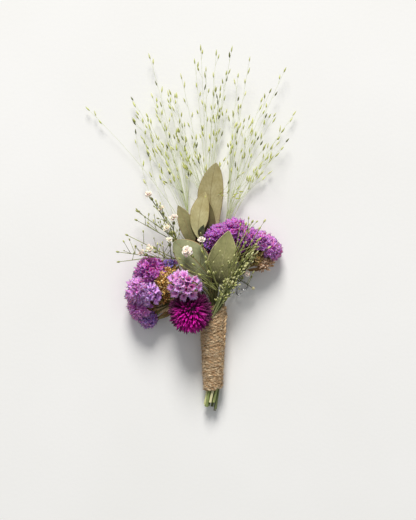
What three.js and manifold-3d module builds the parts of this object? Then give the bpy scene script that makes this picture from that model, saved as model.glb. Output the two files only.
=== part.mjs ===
// Dried-flower boutonniere: a small buttonhole bunch bound with jute twine, lying on its back.
// Millimetres, +Z up. It lies along Y: cut stems and twine handle towards -Y, grass fan towards +Y.
// While it is drawn, X = 0 and Y = 0 lie at the upper end of the handle and Z = 0 is the table.
// At the end the whole bunch is shifted, so that the origin is the middle of its box's underside.

import * as THREE from 'three';
import Module from 'manifold-3d';

const wasm = await Module();
wasm.setup();

// Handle: twine turns wound round twelve stems
const HANDLE_FOOT = point(-0.4, -38, 3.95);
const HANDLE_HEAD = point(-0.3, 3.5, 5.6);
const TWINE_TURNS = 22;
const WRAP_SIDES = 14;
const WRAP_RADIUS_FOOT = 3.9;
const WRAP_RADIUS_HEAD = 5.5;
const TWINE_RELIEF = 0.45;
const TURN_SLANT_FOOT = 0.5;
const TURN_SLANT_HEAD = 3.6;
const WRAP_END = -4.3;
const BORE_FOOT = 3.2;
const BORE_HEAD = 4.2;
const STEM_RADIUS = 0.6;

// Where each stem runs inside the handle: distance from its axis and angle in degrees
const INNER = 0.98;
const OUTER = 2.4;
const SLOTS = {
  frontLeaves: [INNER, 90],
  babysBreathLeft: [INNER, 210],
  backLeaves: [INNER, 330],
  lilac: [OUTER, 90],
  bloom: [OUTER, 130],
  leftStatice: [OUTER, 170],
  blueStatice: [OUTER, 210],
  grassLeft: [OUTER, 250],
  grassMiddle: [OUTER, 290],
  grassRight: [OUTER, 330],
  rightStatice: [OUTER, 10],
  babysBreathFront: [OUTER, 50],
};

// Shared sizes
const CLEARANCE = 0.3;
const FINEST = 0.05;
const LEAF_THICKNESS = 0.65;
const TWIG_RADIUS = 0.4;
const WIRE_RADIUS = 0.35;
const GOLDEN_ANGLE = Math.PI * (3 - Math.sqrt(5));

const COLOURS = {
  twine: '#a58562',
  steel: '#b9bcc0',
  purple: '#a1529a',
  violet: '#5f3f7a',
  lilac: '#b877b4',
  magenta: '#8a1565',
  dryStalk: '#a8825a',
  greenStalk: '#7f8050',
  grass: '#bcc48c',
  leafPale: '#aaa878',
  leafDark: '#858558',
  white: '#e6dfca',
};

// Small maths helpers

function point(x, y, z) {
  return new THREE.Vector3(x, y, z);
}

function radians(degrees) {
  return degrees * Math.PI / 180;
}

// Repeatable random numbers between 0 and 1
function draws(seed) {
  let state = seed;
  return () => {
    state = (state * 16807) % 2147483647;
    return state / 2147483647;
  };
}

// Two unit vectors at right angles to an axis and to each other
function across(axis) {
  const helper = Math.abs(axis.z) > 0.9 ? point(0, 1, 0) : point(0, 0, 1);
  const side = helper.clone().cross(axis).normalize();
  const other = axis.clone().cross(side).normalize();
  return [side, other];
}

// Points of a bent path: a quadratic curve through three points or a cubic one through four
function path(points, steps) {
  const [a, b, c, d] = points;
  if (points.length === 3) return new THREE.QuadraticBezierCurve3(a, b, c).getPoints(steps);
  return new THREE.CubicBezierCurve3(a, b, c, d).getPoints(steps);
}

// Evenly spread directions in a cap round an axis
function spread(axis, capDegrees, count) {
  const [side, other] = across(axis);
  const depth = 1 - Math.cos(radians(capDegrees));
  return Array.from({ length: count }, (_, i) => {
    const rise = 1 - depth * (i + 0.5) / count;
    const reach = Math.sqrt(1 - rise * rise);
    const turn = i * GOLDEN_ANGLE;
    return axis.clone().multiplyScalar(rise)
      .addScaledVector(side, reach * Math.cos(turn))
      .addScaledVector(other, reach * Math.sin(turn));
  });
}

// Solids

function solidFrom(vertices, triangles) {
  let volume = 0;
  for (const [a, b, c] of triangles) {
    volume += vertices[a].dot(vertices[b].clone().cross(vertices[c]));
  }
  const faces = volume < 0 ? triangles.map(([a, b, c]) => [a, c, b]) : triangles;
  return new wasm.Manifold(new wasm.Mesh({
    numProp: 3,
    vertProperties: Float32Array.from(vertices.flatMap((p) => [p.x, p.y, p.z])),
    triVerts: Uint32Array.from(faces.flat()),
  }));
}

// Closed skin through rings of points; a ring of one point is a tip
function loft(rings) {
  const vertices = rings.flat();
  const starts = [];
  let next = 0;
  for (const ring of rings) {
    starts.push(next);
    next += ring.length;
  }
  const count = Math.max(...rings.map((ring) => ring.length));
  const triangles = [];
  for (let i = 0; i + 1 < rings.length; i++) {
    const lowTip = rings[i].length === 1;
    const highTip = rings[i + 1].length === 1;
    for (let k = 0; k < count; k++) {
      const ahead = (k + 1) % count;
      const low = starts[i] + (lowTip ? 0 : k);
      const lowAhead = starts[i] + (lowTip ? 0 : ahead);
      const high = starts[i + 1] + (highTip ? 0 : k);
      const highAhead = starts[i + 1] + (highTip ? 0 : ahead);
      if (!lowTip) triangles.push([low, lowAhead, high]);
      if (!highTip) triangles.push([lowAhead, highAhead, high]);
    }
  }
  const last = starts[rings.length - 1];
  for (let k = 1; k + 1 < count; k++) {
    if (rings[0].length > 1) triangles.push([0, k + 1, k]);
    if (rings[rings.length - 1].length > 1) triangles.push([last, last + k, last + k + 1]);
  }
  return solidFrom(vertices, triangles);
}

// A ring of points round a centre, square to an axis
function ringRound(centre, side, other, radius, count, turn = 0) {
  return Array.from({ length: count }, (_, k) => {
    const angle = turn + 2 * Math.PI * k / count;
    const reach = typeof radius === 'function' ? radius(k) : radius;
    return centre.clone()
      .addScaledVector(side, reach * Math.cos(angle))
      .addScaledVector(other, reach * Math.sin(angle));
  });
}

// Rings along points, kept from twisting, with the radius running from start to end
function tubeRings(points, radiusStart, radiusEnd, sides) {
  const last = points.length - 1;
  let [side] = across(points[1].clone().sub(points[0]).normalize());
  let other = side;
  const rings = points.map((centre, i) => {
    const before = points[Math.max(i - 1, 0)];
    const after = points[Math.min(i + 1, last)];
    const along = after.clone().sub(before).normalize();
    side = side.clone().addScaledVector(along, -side.dot(along)).normalize();
    other = along.clone().cross(side);
    const radius = THREE.MathUtils.lerp(radiusStart, radiusEnd, i / last);
    return ringRound(centre, side, other, radius, sides);
  });
  return { rings, last: [side, other] };
}

// A stem, stalk or wire
function limb(points, radiusStart, radiusEnd, sides) {
  return loft(tubeRings(points, radiusStart, radiusEnd, sides).rings);
}

// A thin stalk along points that swells into a pointed bud, seed or spikelet at its end
function budded(points, radiusStart, radiusEnd, bud, sides) {
  const last = points.length - 1;
  const tip = points[last];
  const along = tip.clone().sub(points[last - 1]).normalize();
  const stalk = tubeRings(points, radiusStart, radiusEnd, sides);
  const [side, other] = stalk.last;
  const swell = (distance, radius) => ringRound(
    tip.clone().addScaledVector(along, distance), side, other, radius, sides,
  );
  return loft([
    ...stalk.rings,
    swell(bud.length * 0.4, bud.radius),
    [tip.clone().addScaledVector(along, bud.length)],
  ]);
}

function join(solids) {
  let level = solids;
  while (level.length > 1) {
    const merged = [];
    for (let i = 0; i < level.length; i += 2) {
      merged.push(i + 1 < level.length ? level[i].add(level[i + 1]) : level[i]);
    }
    level = merged;
  }
  return level[0];
}

// The largest body of a solid, without loose scraps and sealed hollows
function oneBody(solid) {
  return solid.decompose().sort((a, b) => b.volume() - a.volume())[0];
}

function fromGeometry(vertices, index) {
  const points = [];
  for (let i = 0; i < vertices.length; i += 3) {
    points.push(point(vertices[i], vertices[i + 1], vertices[i + 2]));
  }
  const triangles = [];
  for (let i = 0; i < index.length; i += 3) {
    triangles.push([index[i], index[i + 1], index[i + 2]]);
  }
  return solidFrom(points, triangles);
}

// Everything below the table top, to trim what rests on it
function belowTable() {
  const half = 200;
  const corners = (z) => [
    point(-half, -half, z), point(half, -half, z), point(half, half, z), point(-half, half, z),
  ];
  return loft([corners(-20), corners(0)]);
}

// The finished parts, gathered in one group
const boutonniere = new THREE.Group();

function place(name, solid, colour, roughness = 0.9, metalness = 0) {
  const whole = oneBody(solid.simplify(FINEST));
  const mesh = whole.getMesh();
  const geometry = new THREE.BufferGeometry();
  const positions = new Float32Array(mesh.numVert * 3);
  for (let i = 0; i < mesh.numVert; i++) {
    positions.set(mesh.vertProperties.subarray(i * mesh.numProp, i * mesh.numProp + 3), i * 3);
  }
  geometry.setAttribute('position', new THREE.BufferAttribute(positions, 3));
  geometry.setIndex(new THREE.BufferAttribute(Uint32Array.from(mesh.triVerts), 1));
  geometry.computeVertexNormals();
  const material = new THREE.MeshStandardMaterial({
    color: colour, roughness, metalness, flatShading: true,
  });
  const piece = new THREE.Mesh(geometry, material);
  piece.name = name;
  boutonniere.add(piece);
}

// Handle

function alongHandle(y) {
  const t = (y - HANDLE_FOOT.y) / (HANDLE_HEAD.y - HANDLE_FOOT.y);
  return { t, centre: HANDLE_FOOT.clone().lerp(HANDLE_HEAD, t) };
}

function handleRing(y, radius, slant, sides) {
  const { centre } = alongHandle(y);
  return Array.from({ length: sides }, (_, k) => {
    const angle = 2 * Math.PI * k / sides;
    const slip = slant * Math.cos(angle);
    const middle = alongHandle(y + slip).centre;
    return point(
      middle.x + radius * Math.cos(angle),
      centre.y + slip,
      middle.z + radius * Math.sin(angle),
    );
  });
}

// The wound twine: a ridge for each turn, slanting more and more towards the flowers
function twineWrap() {
  const rings = [];
  const steps = 2 * TWINE_TURNS;
  for (let i = 0; i <= steps; i++) {
    const t = i / steps;
    const y = THREE.MathUtils.lerp(HANDLE_FOOT.y, WRAP_END, t);
    const valley = THREE.MathUtils.lerp(WRAP_RADIUS_FOOT, WRAP_RADIUS_HEAD, t);
    const radius = i % 2 === 1 ? valley + TWINE_RELIEF : valley;
    const slant = THREE.MathUtils.lerp(TURN_SLANT_FOOT, TURN_SLANT_HEAD, t * t);
    rings.push(handleRing(y, radius, slant, WRAP_SIDES));
  }
  const beyond = 12;
  const bore = loft([
    handleRing(HANDLE_FOOT.y - beyond, BORE_FOOT, 0, WRAP_SIDES),
    handleRing(HANDLE_FOOT.y, BORE_FOOT, 0, WRAP_SIDES),
    handleRing(HANDLE_HEAD.y, BORE_HEAD, 0, WRAP_SIDES),
    handleRing(HANDLE_HEAD.y + beyond, BORE_HEAD, 0, WRAP_SIDES),
  ]);
  return loft(rings).subtract(bore);
}

// A point of a stem inside the handle
function inHandle(slot, y) {
  const [distance, degrees] = SLOTS[slot];
  const { t, centre } = alongHandle(y);
  const reach = distance * THREE.MathUtils.lerp(1, BORE_HEAD / BORE_FOOT, Math.min(Math.max(t, 0), 1));
  return centre.add(point(reach * Math.cos(radians(degrees)), 0, reach * Math.sin(radians(degrees))));
}

// Below the handle the cut ends lean a little to the left
const FOOT_LEAN = point(-1.3, 0, 0);

// A stem's path from its cut end, through the handle, and along a curve to its fork
function stemPath({ slot, cut, exit, way }) {
  const start = inHandle(slot, exit);
  return [
    inHandle(slot, cut).add(FOOT_LEAN),
    inHandle(slot, HANDLE_FOOT.y),
    ...path([start, ...way], 5),
  ];
}

function stem(route, endRadius = STEM_RADIUS * 0.9) {
  return limb(stemPath(route), STEM_RADIUS, endRadius, 6);
}

// The hole in a head that takes the end of its stalk
function socket(points, radius) {
  const last = points.length - 1;
  const along = points[last].clone().sub(points[last - 1]).normalize();
  const deeper = points[last].clone().addScaledVector(along, CLEARANCE);
  return limb([...points.slice(0, last), deeper], radius + CLEARANCE, radius + CLEARANCE, 5);
}

// Statice: papery funnel calyces crowded on one-sided heads

const RIM_CORNERS = 6;
const RIM_WAVE = 0.07;
const THROAT = 0.62;
const HEAD_CORE = 0.42;
const CROWDING = 0.86;

function calyx(foot, along, length, mouth, turn) {
  const [side, other] = across(along);
  const rim = foot.clone().addScaledVector(along, length);
  const ring = ringRound(rim, side, other, mouth, RIM_CORNERS, turn);
  const wave = length * RIM_WAVE;
  ring.forEach((p, k) => p.addScaledVector(along, k % 2 === 0 ? wave : -wave));
  return loft([[foot], ring, [foot.clone().addScaledVector(along, length * THROAT)]]);
}

// One head: funnels from a shared foot, except where they would grow into a neighbouring head
function staticeHead({ root, axis, length, cap, count, mouth, seed }, neighbours) {
  const draw = draws(seed);
  const core = fromGeometry(...mergedFaces(new THREE.IcosahedronGeometry(length * HEAD_CORE, 0)))
    .translate([root.x, root.y, root.z]);
  const funnels = [];
  for (const along of spread(axis.clone().normalize(), cap, count)) {
    const reach = length * (0.88 + 0.2 * draw());
    const turn = draw() * Math.PI;
    const end = root.clone().addScaledVector(along, reach);
    const crowded = neighbours.some((other) => end.distanceTo(other.root) < other.length * CROWDING);
    if (!crowded) funnels.push(calyx(root, along, reach, mouth, turn));
  }
  return join([core, ...funnels]);
}

// Shared corner points and faces of a geometry whose faces stand apart
function mergedFaces(geometry) {
  const raw = geometry.getAttribute('position').array;
  const keys = new Map();
  const vertices = [];
  const index = [];
  for (let i = 0; i < raw.length; i += 3) {
    const key = [raw[i], raw[i + 1], raw[i + 2]].map((value) => value.toFixed(4)).join(' ');
    if (!keys.has(key)) {
      keys.set(key, vertices.length / 3);
      vertices.push(raw[i], raw[i + 1], raw[i + 2]);
    }
    index.push(keys.get(key));
  }
  return [vertices, index];
}

const BRANCH_RADIUS = 0.7;

// The stalk from a fork to a head: it rises under the head and ends in its core
function headStalk(fork, head) {
  const axis = head.axis.clone().normalize();
  const under = head.root.clone().addScaledVector(axis, -head.length * 0.7);
  return path([fork, under, head.root], 4);
}

function staticeSpray({ name, route, heads, colour, stalkColour }) {
  const fork = route.way[route.way.length - 1];
  const stalks = heads.map((head) => headStalk(fork, head));
  const sockets = stalks.map((stalk) => socket(stalk, BRANCH_RADIUS));
  const grown = heads.map((head) => staticeHead(head, heads.filter((other) => other !== head)));
  const blossom = join(grown).subtract(join(sockets)).subtract(belowTable());
  const branches = stalks.map((stalk) => limb(stalk, BRANCH_RADIUS, BRANCH_RADIUS, 5));
  place(`${name}_heads`, blossom, colour, 0.85);
  place(`${name}_stem`, join([stem(route), ...branches]), stalkColour);
}

const STATICE = [
  {
    name: 'left_statice',
    colour: COLOURS.purple,
    stalkColour: COLOURS.dryStalk,
    route: {
      slot: 'leftStatice', cut: -45, exit: -5,
      way: [point(-2, 1, 6), point(-12, 4, 2.4), point(-22, 4, 5)],
    },
    heads: [
      {
        root: point(-28.5, 14, 8),
        axis: point(-0.25, 0.45, 0.85), length: 7.5, cap: 80, count: 10, mouth: 2.6, seed: 11,
      },
      {
        root: point(-32, 6.5, 7.5),
        axis: point(-0.55, 0.1, 0.8), length: 7.5, cap: 80, count: 10, mouth: 2.6, seed: 12,
      },
      {
        root: point(-27.2, 5, 8.5),
        axis: point(0, -0.1, 1), length: 6.8, cap: 75, count: 9, mouth: 2.6, seed: 13,
      },
      {
        root: point(-32.6, -0.8, 6),
        axis: point(-0.6, -0.3, 0.75), length: 6.4, cap: 112, count: 14, mouth: 2.4, seed: 14,
      },
      {
        root: point(-29.3, -6, 5.2),
        axis: point(-0.2, -0.5, 0.8), length: 4.8, cap: 78, count: 7, mouth: 2.1, seed: 15,
      },
    ],
  },
  {
    name: 'blue_statice',
    colour: COLOURS.violet,
    stalkColour: COLOURS.greenStalk,
    route: {
      slot: 'blueStatice', cut: -46, exit: -5,
      way: [point(-2, 6, 3.4), point(-9, 11, 4), point(-15, 14, 4.2)],
    },
    heads: [
      {
        root: point(-20, 17, 4.8),
        axis: point(-0.1, 0.3, 0.9), length: 4.2, cap: 75, count: 7, mouth: 1.8, seed: 21,
      },
    ],
  },
  {
    name: 'lilac_statice',
    colour: COLOURS.lilac,
    stalkColour: COLOURS.greenStalk,
    route: {
      slot: 'lilac', cut: -44, exit: -0.5,
      way: [point(0.2, 3, 9.8), point(-5, 9.5, 12), point(-9, 9.5, 15)],
    },
    heads: [
      {
        root: point(-12.4, 9.6, 19.8),
        axis: point(0, -0.1, 0.99), length: 6.8, cap: 78, count: 9, mouth: 3.3, seed: 31,
      },
    ],
  },
  {
    name: 'right_statice',
    colour: COLOURS.purple,
    stalkColour: COLOURS.dryStalk,
    route: {
      slot: 'rightStatice', cut: -47, exit: 4,
      way: [point(5, 9, 6.5), point(10, 12, 5), point(14, 18, 5)],
    },
    heads: [
      {
        root: point(2.2, 30.2, 7.6),
        axis: point(-0.15, 0.3, 0.9), length: 6.3, cap: 66, count: 8, mouth: 2.5, seed: 41,
      },
      {
        root: point(8.5, 32, 6.5),
        axis: point(0, 0.45, 0.9), length: 7, cap: 75, count: 9, mouth: 2.6, seed: 42,
      },
      {
        root: point(14.8, 28, 6.5),
        axis: point(0, 0.3, 0.95), length: 7, cap: 75, count: 9, mouth: 2.6, seed: 43,
      },
      {
        root: point(20.6, 27, 6),
        axis: point(0.2, 0.35, 0.9), length: 6.3, cap: 75, count: 9, mouth: 2.5, seed: 44,
      },
      {
        root: point(25.2, 24.4, 5),
        axis: point(0.5, 0.3, 0.8), length: 5.8, cap: 112, count: 11, mouth: 2.3, seed: 45,
      },
    ],
  },
];

// Magenta bloom: pointed bracts on a round head

const BLOOM = {
  centre: point(-10.6, -2.9, 12.6),
  axis: point(-0.1, -0.4, 0.91).normalize(),
  radius: 9.5,
  core: 5.8,
  cap: 100,
  bracts: 60,
  bractWidth: 2.4,
  bractThickness: 1.2,
  stalkRadius: 0.9,
  route: {
    slot: 'bloom', cut: -46, exit: -4,
    way: [point(-2, 3.5, 8.4), point(-8, 3, 7), point(-9.9, 0, 9.5)],
  },
};

// One bract: three-sided, widest halfway, ending in a point
function bract(centre, along, inner, outer, width, thickness, lift) {
  const [side, other] = across(along);
  const at = (distance) => centre.clone().addScaledVector(along, distance);
  const triangle = (middle, half, thick) => [
    middle.clone().addScaledVector(side, half),
    middle.clone().addScaledVector(side, -half),
    middle.clone().addScaledVector(other, thick),
  ];
  const belly = at(inner + (outer - inner) * 0.5);
  const tip = at(outer).addScaledVector(other, lift);
  const foot = triangle(at(inner), width * 0.3, thickness * 0.8);
  return loft([foot, triangle(belly, width / 2, thickness), [tip]]);
}

function bloom() {
  const { centre, axis, radius, core, cap, bracts, bractWidth, bractThickness } = BLOOM;
  const draw = draws(51);
  const ball = fromGeometry(...mergedFaces(new THREE.IcosahedronGeometry(core, 1)))
    .translate([centre.x, centre.y, centre.z]);
  const scales = spread(axis, cap, bracts).map((along) => {
    const outer = radius * (0.9 + 0.14 * draw());
    const lift = (draw() - 0.5) * 1.6;
    return bract(centre, along, core * 0.8, outer, bractWidth, bractThickness, lift);
  });
  const stalk = stemPath(BLOOM.route);
  const back = centre.clone().addScaledVector(axis, -core * 0.3);
  stalk.push(back);
  const head = join([ball, ...scales]).subtract(socket(stalk, BLOOM.stalkRadius));
  place('bloom_head', head, COLOURS.magenta, 0.75);
  place('bloom_stem', limb(stalk, STEM_RADIUS, BLOOM.stalkRadius, 6), COLOURS.greenStalk);
}

// Grass: three tufts of hair-thin stalks with small spikelets

const GRASS = {
  stalkFoot: 0.42,
  stalkTip: 0.36,
  spikelet: { length: 3.3, radius: 0.65 },
  spacing: 16,
  bareShare: 0.42,
  tufts: [
    {
      name: 'grass_left', seed: 61,
      route: {
        slot: 'grassLeft', cut: -46, exit: -2,
        way: [point(0.2, 10, 2.8), point(-5, 16, 2.2), point(-9, 24, 2.2)],
      },
      tips: [
        point(-28.8, 111, 4.5), point(-56.3, 87.8, 3), point(-36.5, 92.3, 4),
        point(-25.2, 88.7, 6), point(-16.7, 93.2, 4),
      ],
    },
    {
      name: 'grass_middle', seed: 62,
      route: {
        slot: 'grassMiddle', cut: -44, exit: 1,
        way: [point(2.2, 10, 2.4), point(-1, 17, 2), point(-3, 25, 2)],
      },
      tips: [
        point(-3.6, 104.4, 12), point(-14.4, 101.3, 9), point(-8.6, 108.5, 7), point(-5.9, 114, 10),
        point(0.9, 112, 8), point(7.7, 113.4, 11), point(5.4, 103.5, 6), point(2.7, 95.9, 10),
      ],
    },
    {
      name: 'grass_right', seed: 63,
      route: {
        slot: 'grassRight', cut: -48, exit: 3.5,
        way: [point(4.2, 10, 3.2), point(3.8, 15, 2.2), point(3.8, 22, 2)],
      },
      tips: [
        point(15.8, 109.4, 9), point(10.8, 102.6, 4), point(31.5, 104.9, 5), point(24.8, 95, 11),
        point(35.6, 85.5, 3), point(30.2, 77.4, 9), point(32.4, 73.4, 5), point(27.5, 66.6, 8),
        point(24.3, 59, 2.5),
      ],
    },
  ],
};

// A stalk rises steeply from where it starts and then leans out to its tip
function grassStalk(start, tip) {
  const bend = point(
    start.x + (tip.x - start.x) * 0.35,
    start.y + (tip.y - start.y) * 0.5,
    Math.min(start.z, tip.z) + 0.4,
  );
  return new THREE.QuadraticBezierCurve3(start, bend, tip);
}

// The first tip ends the tuft's main stalk; the nearer another tip is to it, the higher it forks off
function grassStalks(fork, tips) {
  const main = grassStalk(fork, tips[0]);
  const others = tips.slice(1).map((tip) => {
    const apart = Math.abs(tip.x - tips[0].x);
    const share = THREE.MathUtils.clamp(0.5 - apart / 70, 0.06, 0.5);
    return grassStalk(main.getPoint(share), tip);
  });
  return [main, ...others];
}

// Spikelets on short stalks, turned to alternate sides up the stem
function spikelets(curve, draw) {
  const { spacing, bareShare, stalkTip, spikelet } = GRASS;
  const count = Math.round(curve.getLength() * (1 - bareShare) / spacing);
  const sprigs = [];
  for (let i = 0; i < count; i++) {
    const t = bareShare + (0.97 - bareShare) * (i + 0.2 + 0.5 * draw()) / count;
    const root = curve.getPoint(t);
    const hand = i % 2 === 0 ? 1 : -1;
    const lean = radians(18 + 20 * draw()) * hand;
    const outward = curve.getTangent(t).applyAxisAngle(point(0, 0, 1), lean);
    outward.z += 0.1 * draw();
    outward.normalize();
    const foot = root.clone().addScaledVector(outward, 2.2 + 3 * draw());
    sprigs.push(budded([root, foot], stalkTip, stalkTip * 0.8, spikelet, 3));
  }
  return sprigs;
}

function grassTuft({ name, seed, route, tips }) {
  const draw = draws(seed);
  const fork = route.way[route.way.length - 1];
  const parts = [stem(route)];
  for (const curve of grassStalks(fork, tips)) {
    parts.push(budded(curve.getPoints(5), GRASS.stalkFoot, GRASS.stalkTip, GRASS.spikelet, 3));
    parts.push(...spikelets(curve, draw));
  }
  place(name, join(parts), COLOURS.grass);
}

// Filler flowers: thin forking stalks with small double white flowers and buds.
// Each branch has a leader; its side shoots leave the leader at a share of its length.

const FILLER = {
  bud: { length: 1.8, radius: 0.75 },
  sprays: [
    {
      name: 'babys_breath_left',
      route: {
        slot: 'babysBreathLeft', cut: -45, exit: 0,
        way: [point(0.4, 8, 6), point(-7, 13, 6.2), point(-12, 21, 7)],
      },
      branches: [
        {
          leader: { tip: point(-29.5, 50.1, 12), over: point(-18, 32, 7), radius: 2 },
          shoots: [
            { tip: point(-34.7, 42.3, 7), at: 0.35 },
            { tip: point(-23.9, 43.7, 12), at: 0.55, radius: 1.6 },
            { tip: point(-35.1, 38.3, 8), at: 0.28 },
          ],
        },
        {
          leader: { tip: point(-17.8, 39.8, 13), over: point(-18.5, 28, 9), radius: 2.1 },
          shoots: [
            { tip: point(-21.2, 35, 12), at: 0.35, radius: 2.1 },
          ],
        },
        {
          leader: { tip: point(-32.9, 23.4, 14), over: point(-21, 20, 10), radius: 1.7 },
          shoots: [
            { tip: point(-28.8, 25.2, 16), at: 0.45, radius: 2 },
            { tip: point(-20, 29.6, 14), at: 0.4, radius: 1.6 },
            { tip: point(-39.2, 31.5, 10), at: 0.3 },
            { tip: point(-43.2, 23.9, 12), at: 0.7 },
            { tip: point(-42.8, 19.4, 14), at: 0.8 },
          ],
        },
      ],
    },
    {
      name: 'babys_breath_front',
      route: {
        slot: 'babysBreathFront', cut: -44, exit: 2,
        way: [point(3.2, 3.5, 9), point(3.6, 5, 9.6), point(4.4, 6.5, 10.4)],
      },
      branches: [
        {
          leader: { tip: point(-12.2, 24.6, 17.5), over: point(-2, 14, 15), radius: 2.8 },
          shoots: [
            { tip: point(-5.9, 30.2, 16), at: 0.55, radius: 1.6 },
            { tip: point(-11.3, 15.3, 19), at: 0.4 },
            { tip: point(-4, 9.9, 16), at: 0.2 },
            { tip: point(-3.6, 19, 18), at: 0.35 },
          ],
        },
        {
          leader: { tip: point(11.7, 36, 18), over: point(9, 20, 20), radius: 0 },
          shoots: [
            { tip: point(3.6, 14.9, 20), at: 0.15 },
            { tip: point(6.3, 19.4, 21), at: 0.25 },
            { tip: point(14, 27.9, 19), at: 0.45 },
            { tip: point(17.1, 37.4, 18), at: 0.6 },
            { tip: point(19.4, 26.1, 17), at: 0.52 },
          ],
        },
        {
          leader: { tip: point(14.7, 14.6, 12), over: point(10, 9, 11), radius: 1.9 },
          shoots: [
            { tip: point(10.8, 21, 15), at: 0.3 },
            { tip: point(17.7, 7.5, 6), at: 0.4 },
          ],
        },
      ],
    },
  ],
};

const SHOOT_ARCH = 0.8;

// A double white flower: two ruffled tiers of petals closing over the middle
function whiteFlower(foot, along, radius) {
  const [side, other] = across(along);
  const petals = 8;
  const tier = (height, reach, turn) => ringRound(
    foot.clone().addScaledVector(along, height * radius),
    side, other, (k) => radius * reach * (k % 2 === 0 ? 1 : 0.78), petals, turn,
  );
  return loft([
    [foot],
    tier(0.85, 1, 0),
    tier(0.95, 0.6, 0),
    tier(1.3, 0.72, 0.4),
    [foot.clone().addScaledVector(along, 1.15 * radius)],
  ]);
}

function fillerSpray({ name, route, branches }) {
  const fork = route.way[route.way.length - 1];
  const parts = [stem(route)];
  let flowers = 0;
  // A twig from a start, over a bend, to the middle of its flower or bud; it returns its curve
  const grow = (start, over, tip, radius, steps) => {
    const along = tip.clone().sub(over).normalize();
    const flowerRoom = radius ? CLEARANCE + radius * 0.9 : -FILLER.bud.length / 2;
    const end = tip.clone().addScaledVector(along, -FILLER.bud.length - flowerRoom);
    const curve = new THREE.QuadraticBezierCurve3(start, over, end);
    parts.push(budded(curve.getPoints(steps), TWIG_RADIUS, TWIG_RADIUS, FILLER.bud, 3));
    if (radius) {
      flowers += 1;
      const seat = end.clone().addScaledVector(along, FILLER.bud.length + CLEARANCE);
      place(`${name}_flower_${flowers}`, whiteFlower(seat, along, radius), COLOURS.white);
    }
    return curve;
  };
  for (const { leader, shoots } of branches) {
    const stalk = grow(fork, leader.over, leader.tip, leader.radius, 5);
    for (const { at, tip, radius } of shoots) {
      const start = stalk.getPoint(at);
      grow(start, start.clone().lerp(tip, 0.5).add(point(0, 0, SHOOT_ARCH)), tip, radius, 2);
    }
  }
  place(`${name}_stems`, join(parts), COLOURS.greenStalk);
}

// Eucalyptus leaves: thin arched blades on two twigs

// A blade between its base and tip; roll tips it sideways, arch lifts its middle and bow bends it sideways
function leafBlade({ base, tip, width, widest, blunt, arch, cup, roll, bow = 0 }) {
  const rows = 7;
  const columns = 4;
  const skew = Math.log(0.5) / Math.log(widest);
  const middle = base.clone().lerp(tip, 0.5).add(point(bow, 0, arch));
  const spine = new THREE.QuadraticBezierCurve3(base, middle, tip);
  const flat = tip.clone().sub(base).normalize();
  const level = point(0, 0, 1).cross(flat).normalize();
  const side = level.applyAxisAngle(flat, radians(roll));
  const up = flat.clone().cross(side).negate();
  if (up.z < 0) up.negate();
  const grid = [];
  for (let i = 0; i <= rows; i++) {
    const t = (1 - Math.cos(Math.PI * i / rows)) / 2;
    const inside = Math.sin(Math.PI * Math.pow(t, skew));
    const half = Math.max(width / 2 * Math.pow(Math.max(inside, 0), blunt), 0.45);
    const row = [];
    for (let j = 0; j <= columns; j++) {
      const u = 2 * j / columns - 1;
      row.push(spine.getPoint(t).addScaledVector(side, u * half).addScaledVector(up, cup * u * u * half));
    }
    grid.push(row);
  }
  return slab(grid, up, LEAF_THICKNESS);
}

// A thin closed plate over a grid of points, split alike on both faces
function slab(grid, up, thickness) {
  const rows = grid.length;
  const columns = grid[0].length;
  const lift = up.clone().multiplyScalar(thickness / 2);
  const top = grid.flat().map((p) => p.clone().add(lift));
  const bottom = grid.flat().map((p) => p.clone().sub(lift));
  const shift = rows * columns;
  const at = (i, j) => i * columns + j;
  const triangles = [];
  for (let i = 0; i + 1 < rows; i++) {
    for (let j = 0; j + 1 < columns; j++) {
      const corners = [at(i, j), at(i, j + 1), at(i + 1, j + 1), at(i + 1, j)];
      const [a, b, c, d] = corners;
      triangles.push([a, b, c], [a, c, d]);
      triangles.push([a + shift, c + shift, b + shift], [a + shift, d + shift, c + shift]);
    }
  }
  const edge = (a, b) => {
    triangles.push([b, a, a + shift], [b, a + shift, b + shift]);
  };
  for (let j = 0; j + 1 < columns; j++) {
    edge(at(0, j), at(0, j + 1));
    edge(at(rows - 1, j + 1), at(rows - 1, j));
  }
  for (let i = 0; i + 1 < rows; i++) {
    edge(at(i, columns - 1), at(i + 1, columns - 1));
    edge(at(i + 1, 0), at(i, 0));
  }
  return solidFrom([...top, ...bottom], triangles);
}

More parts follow.
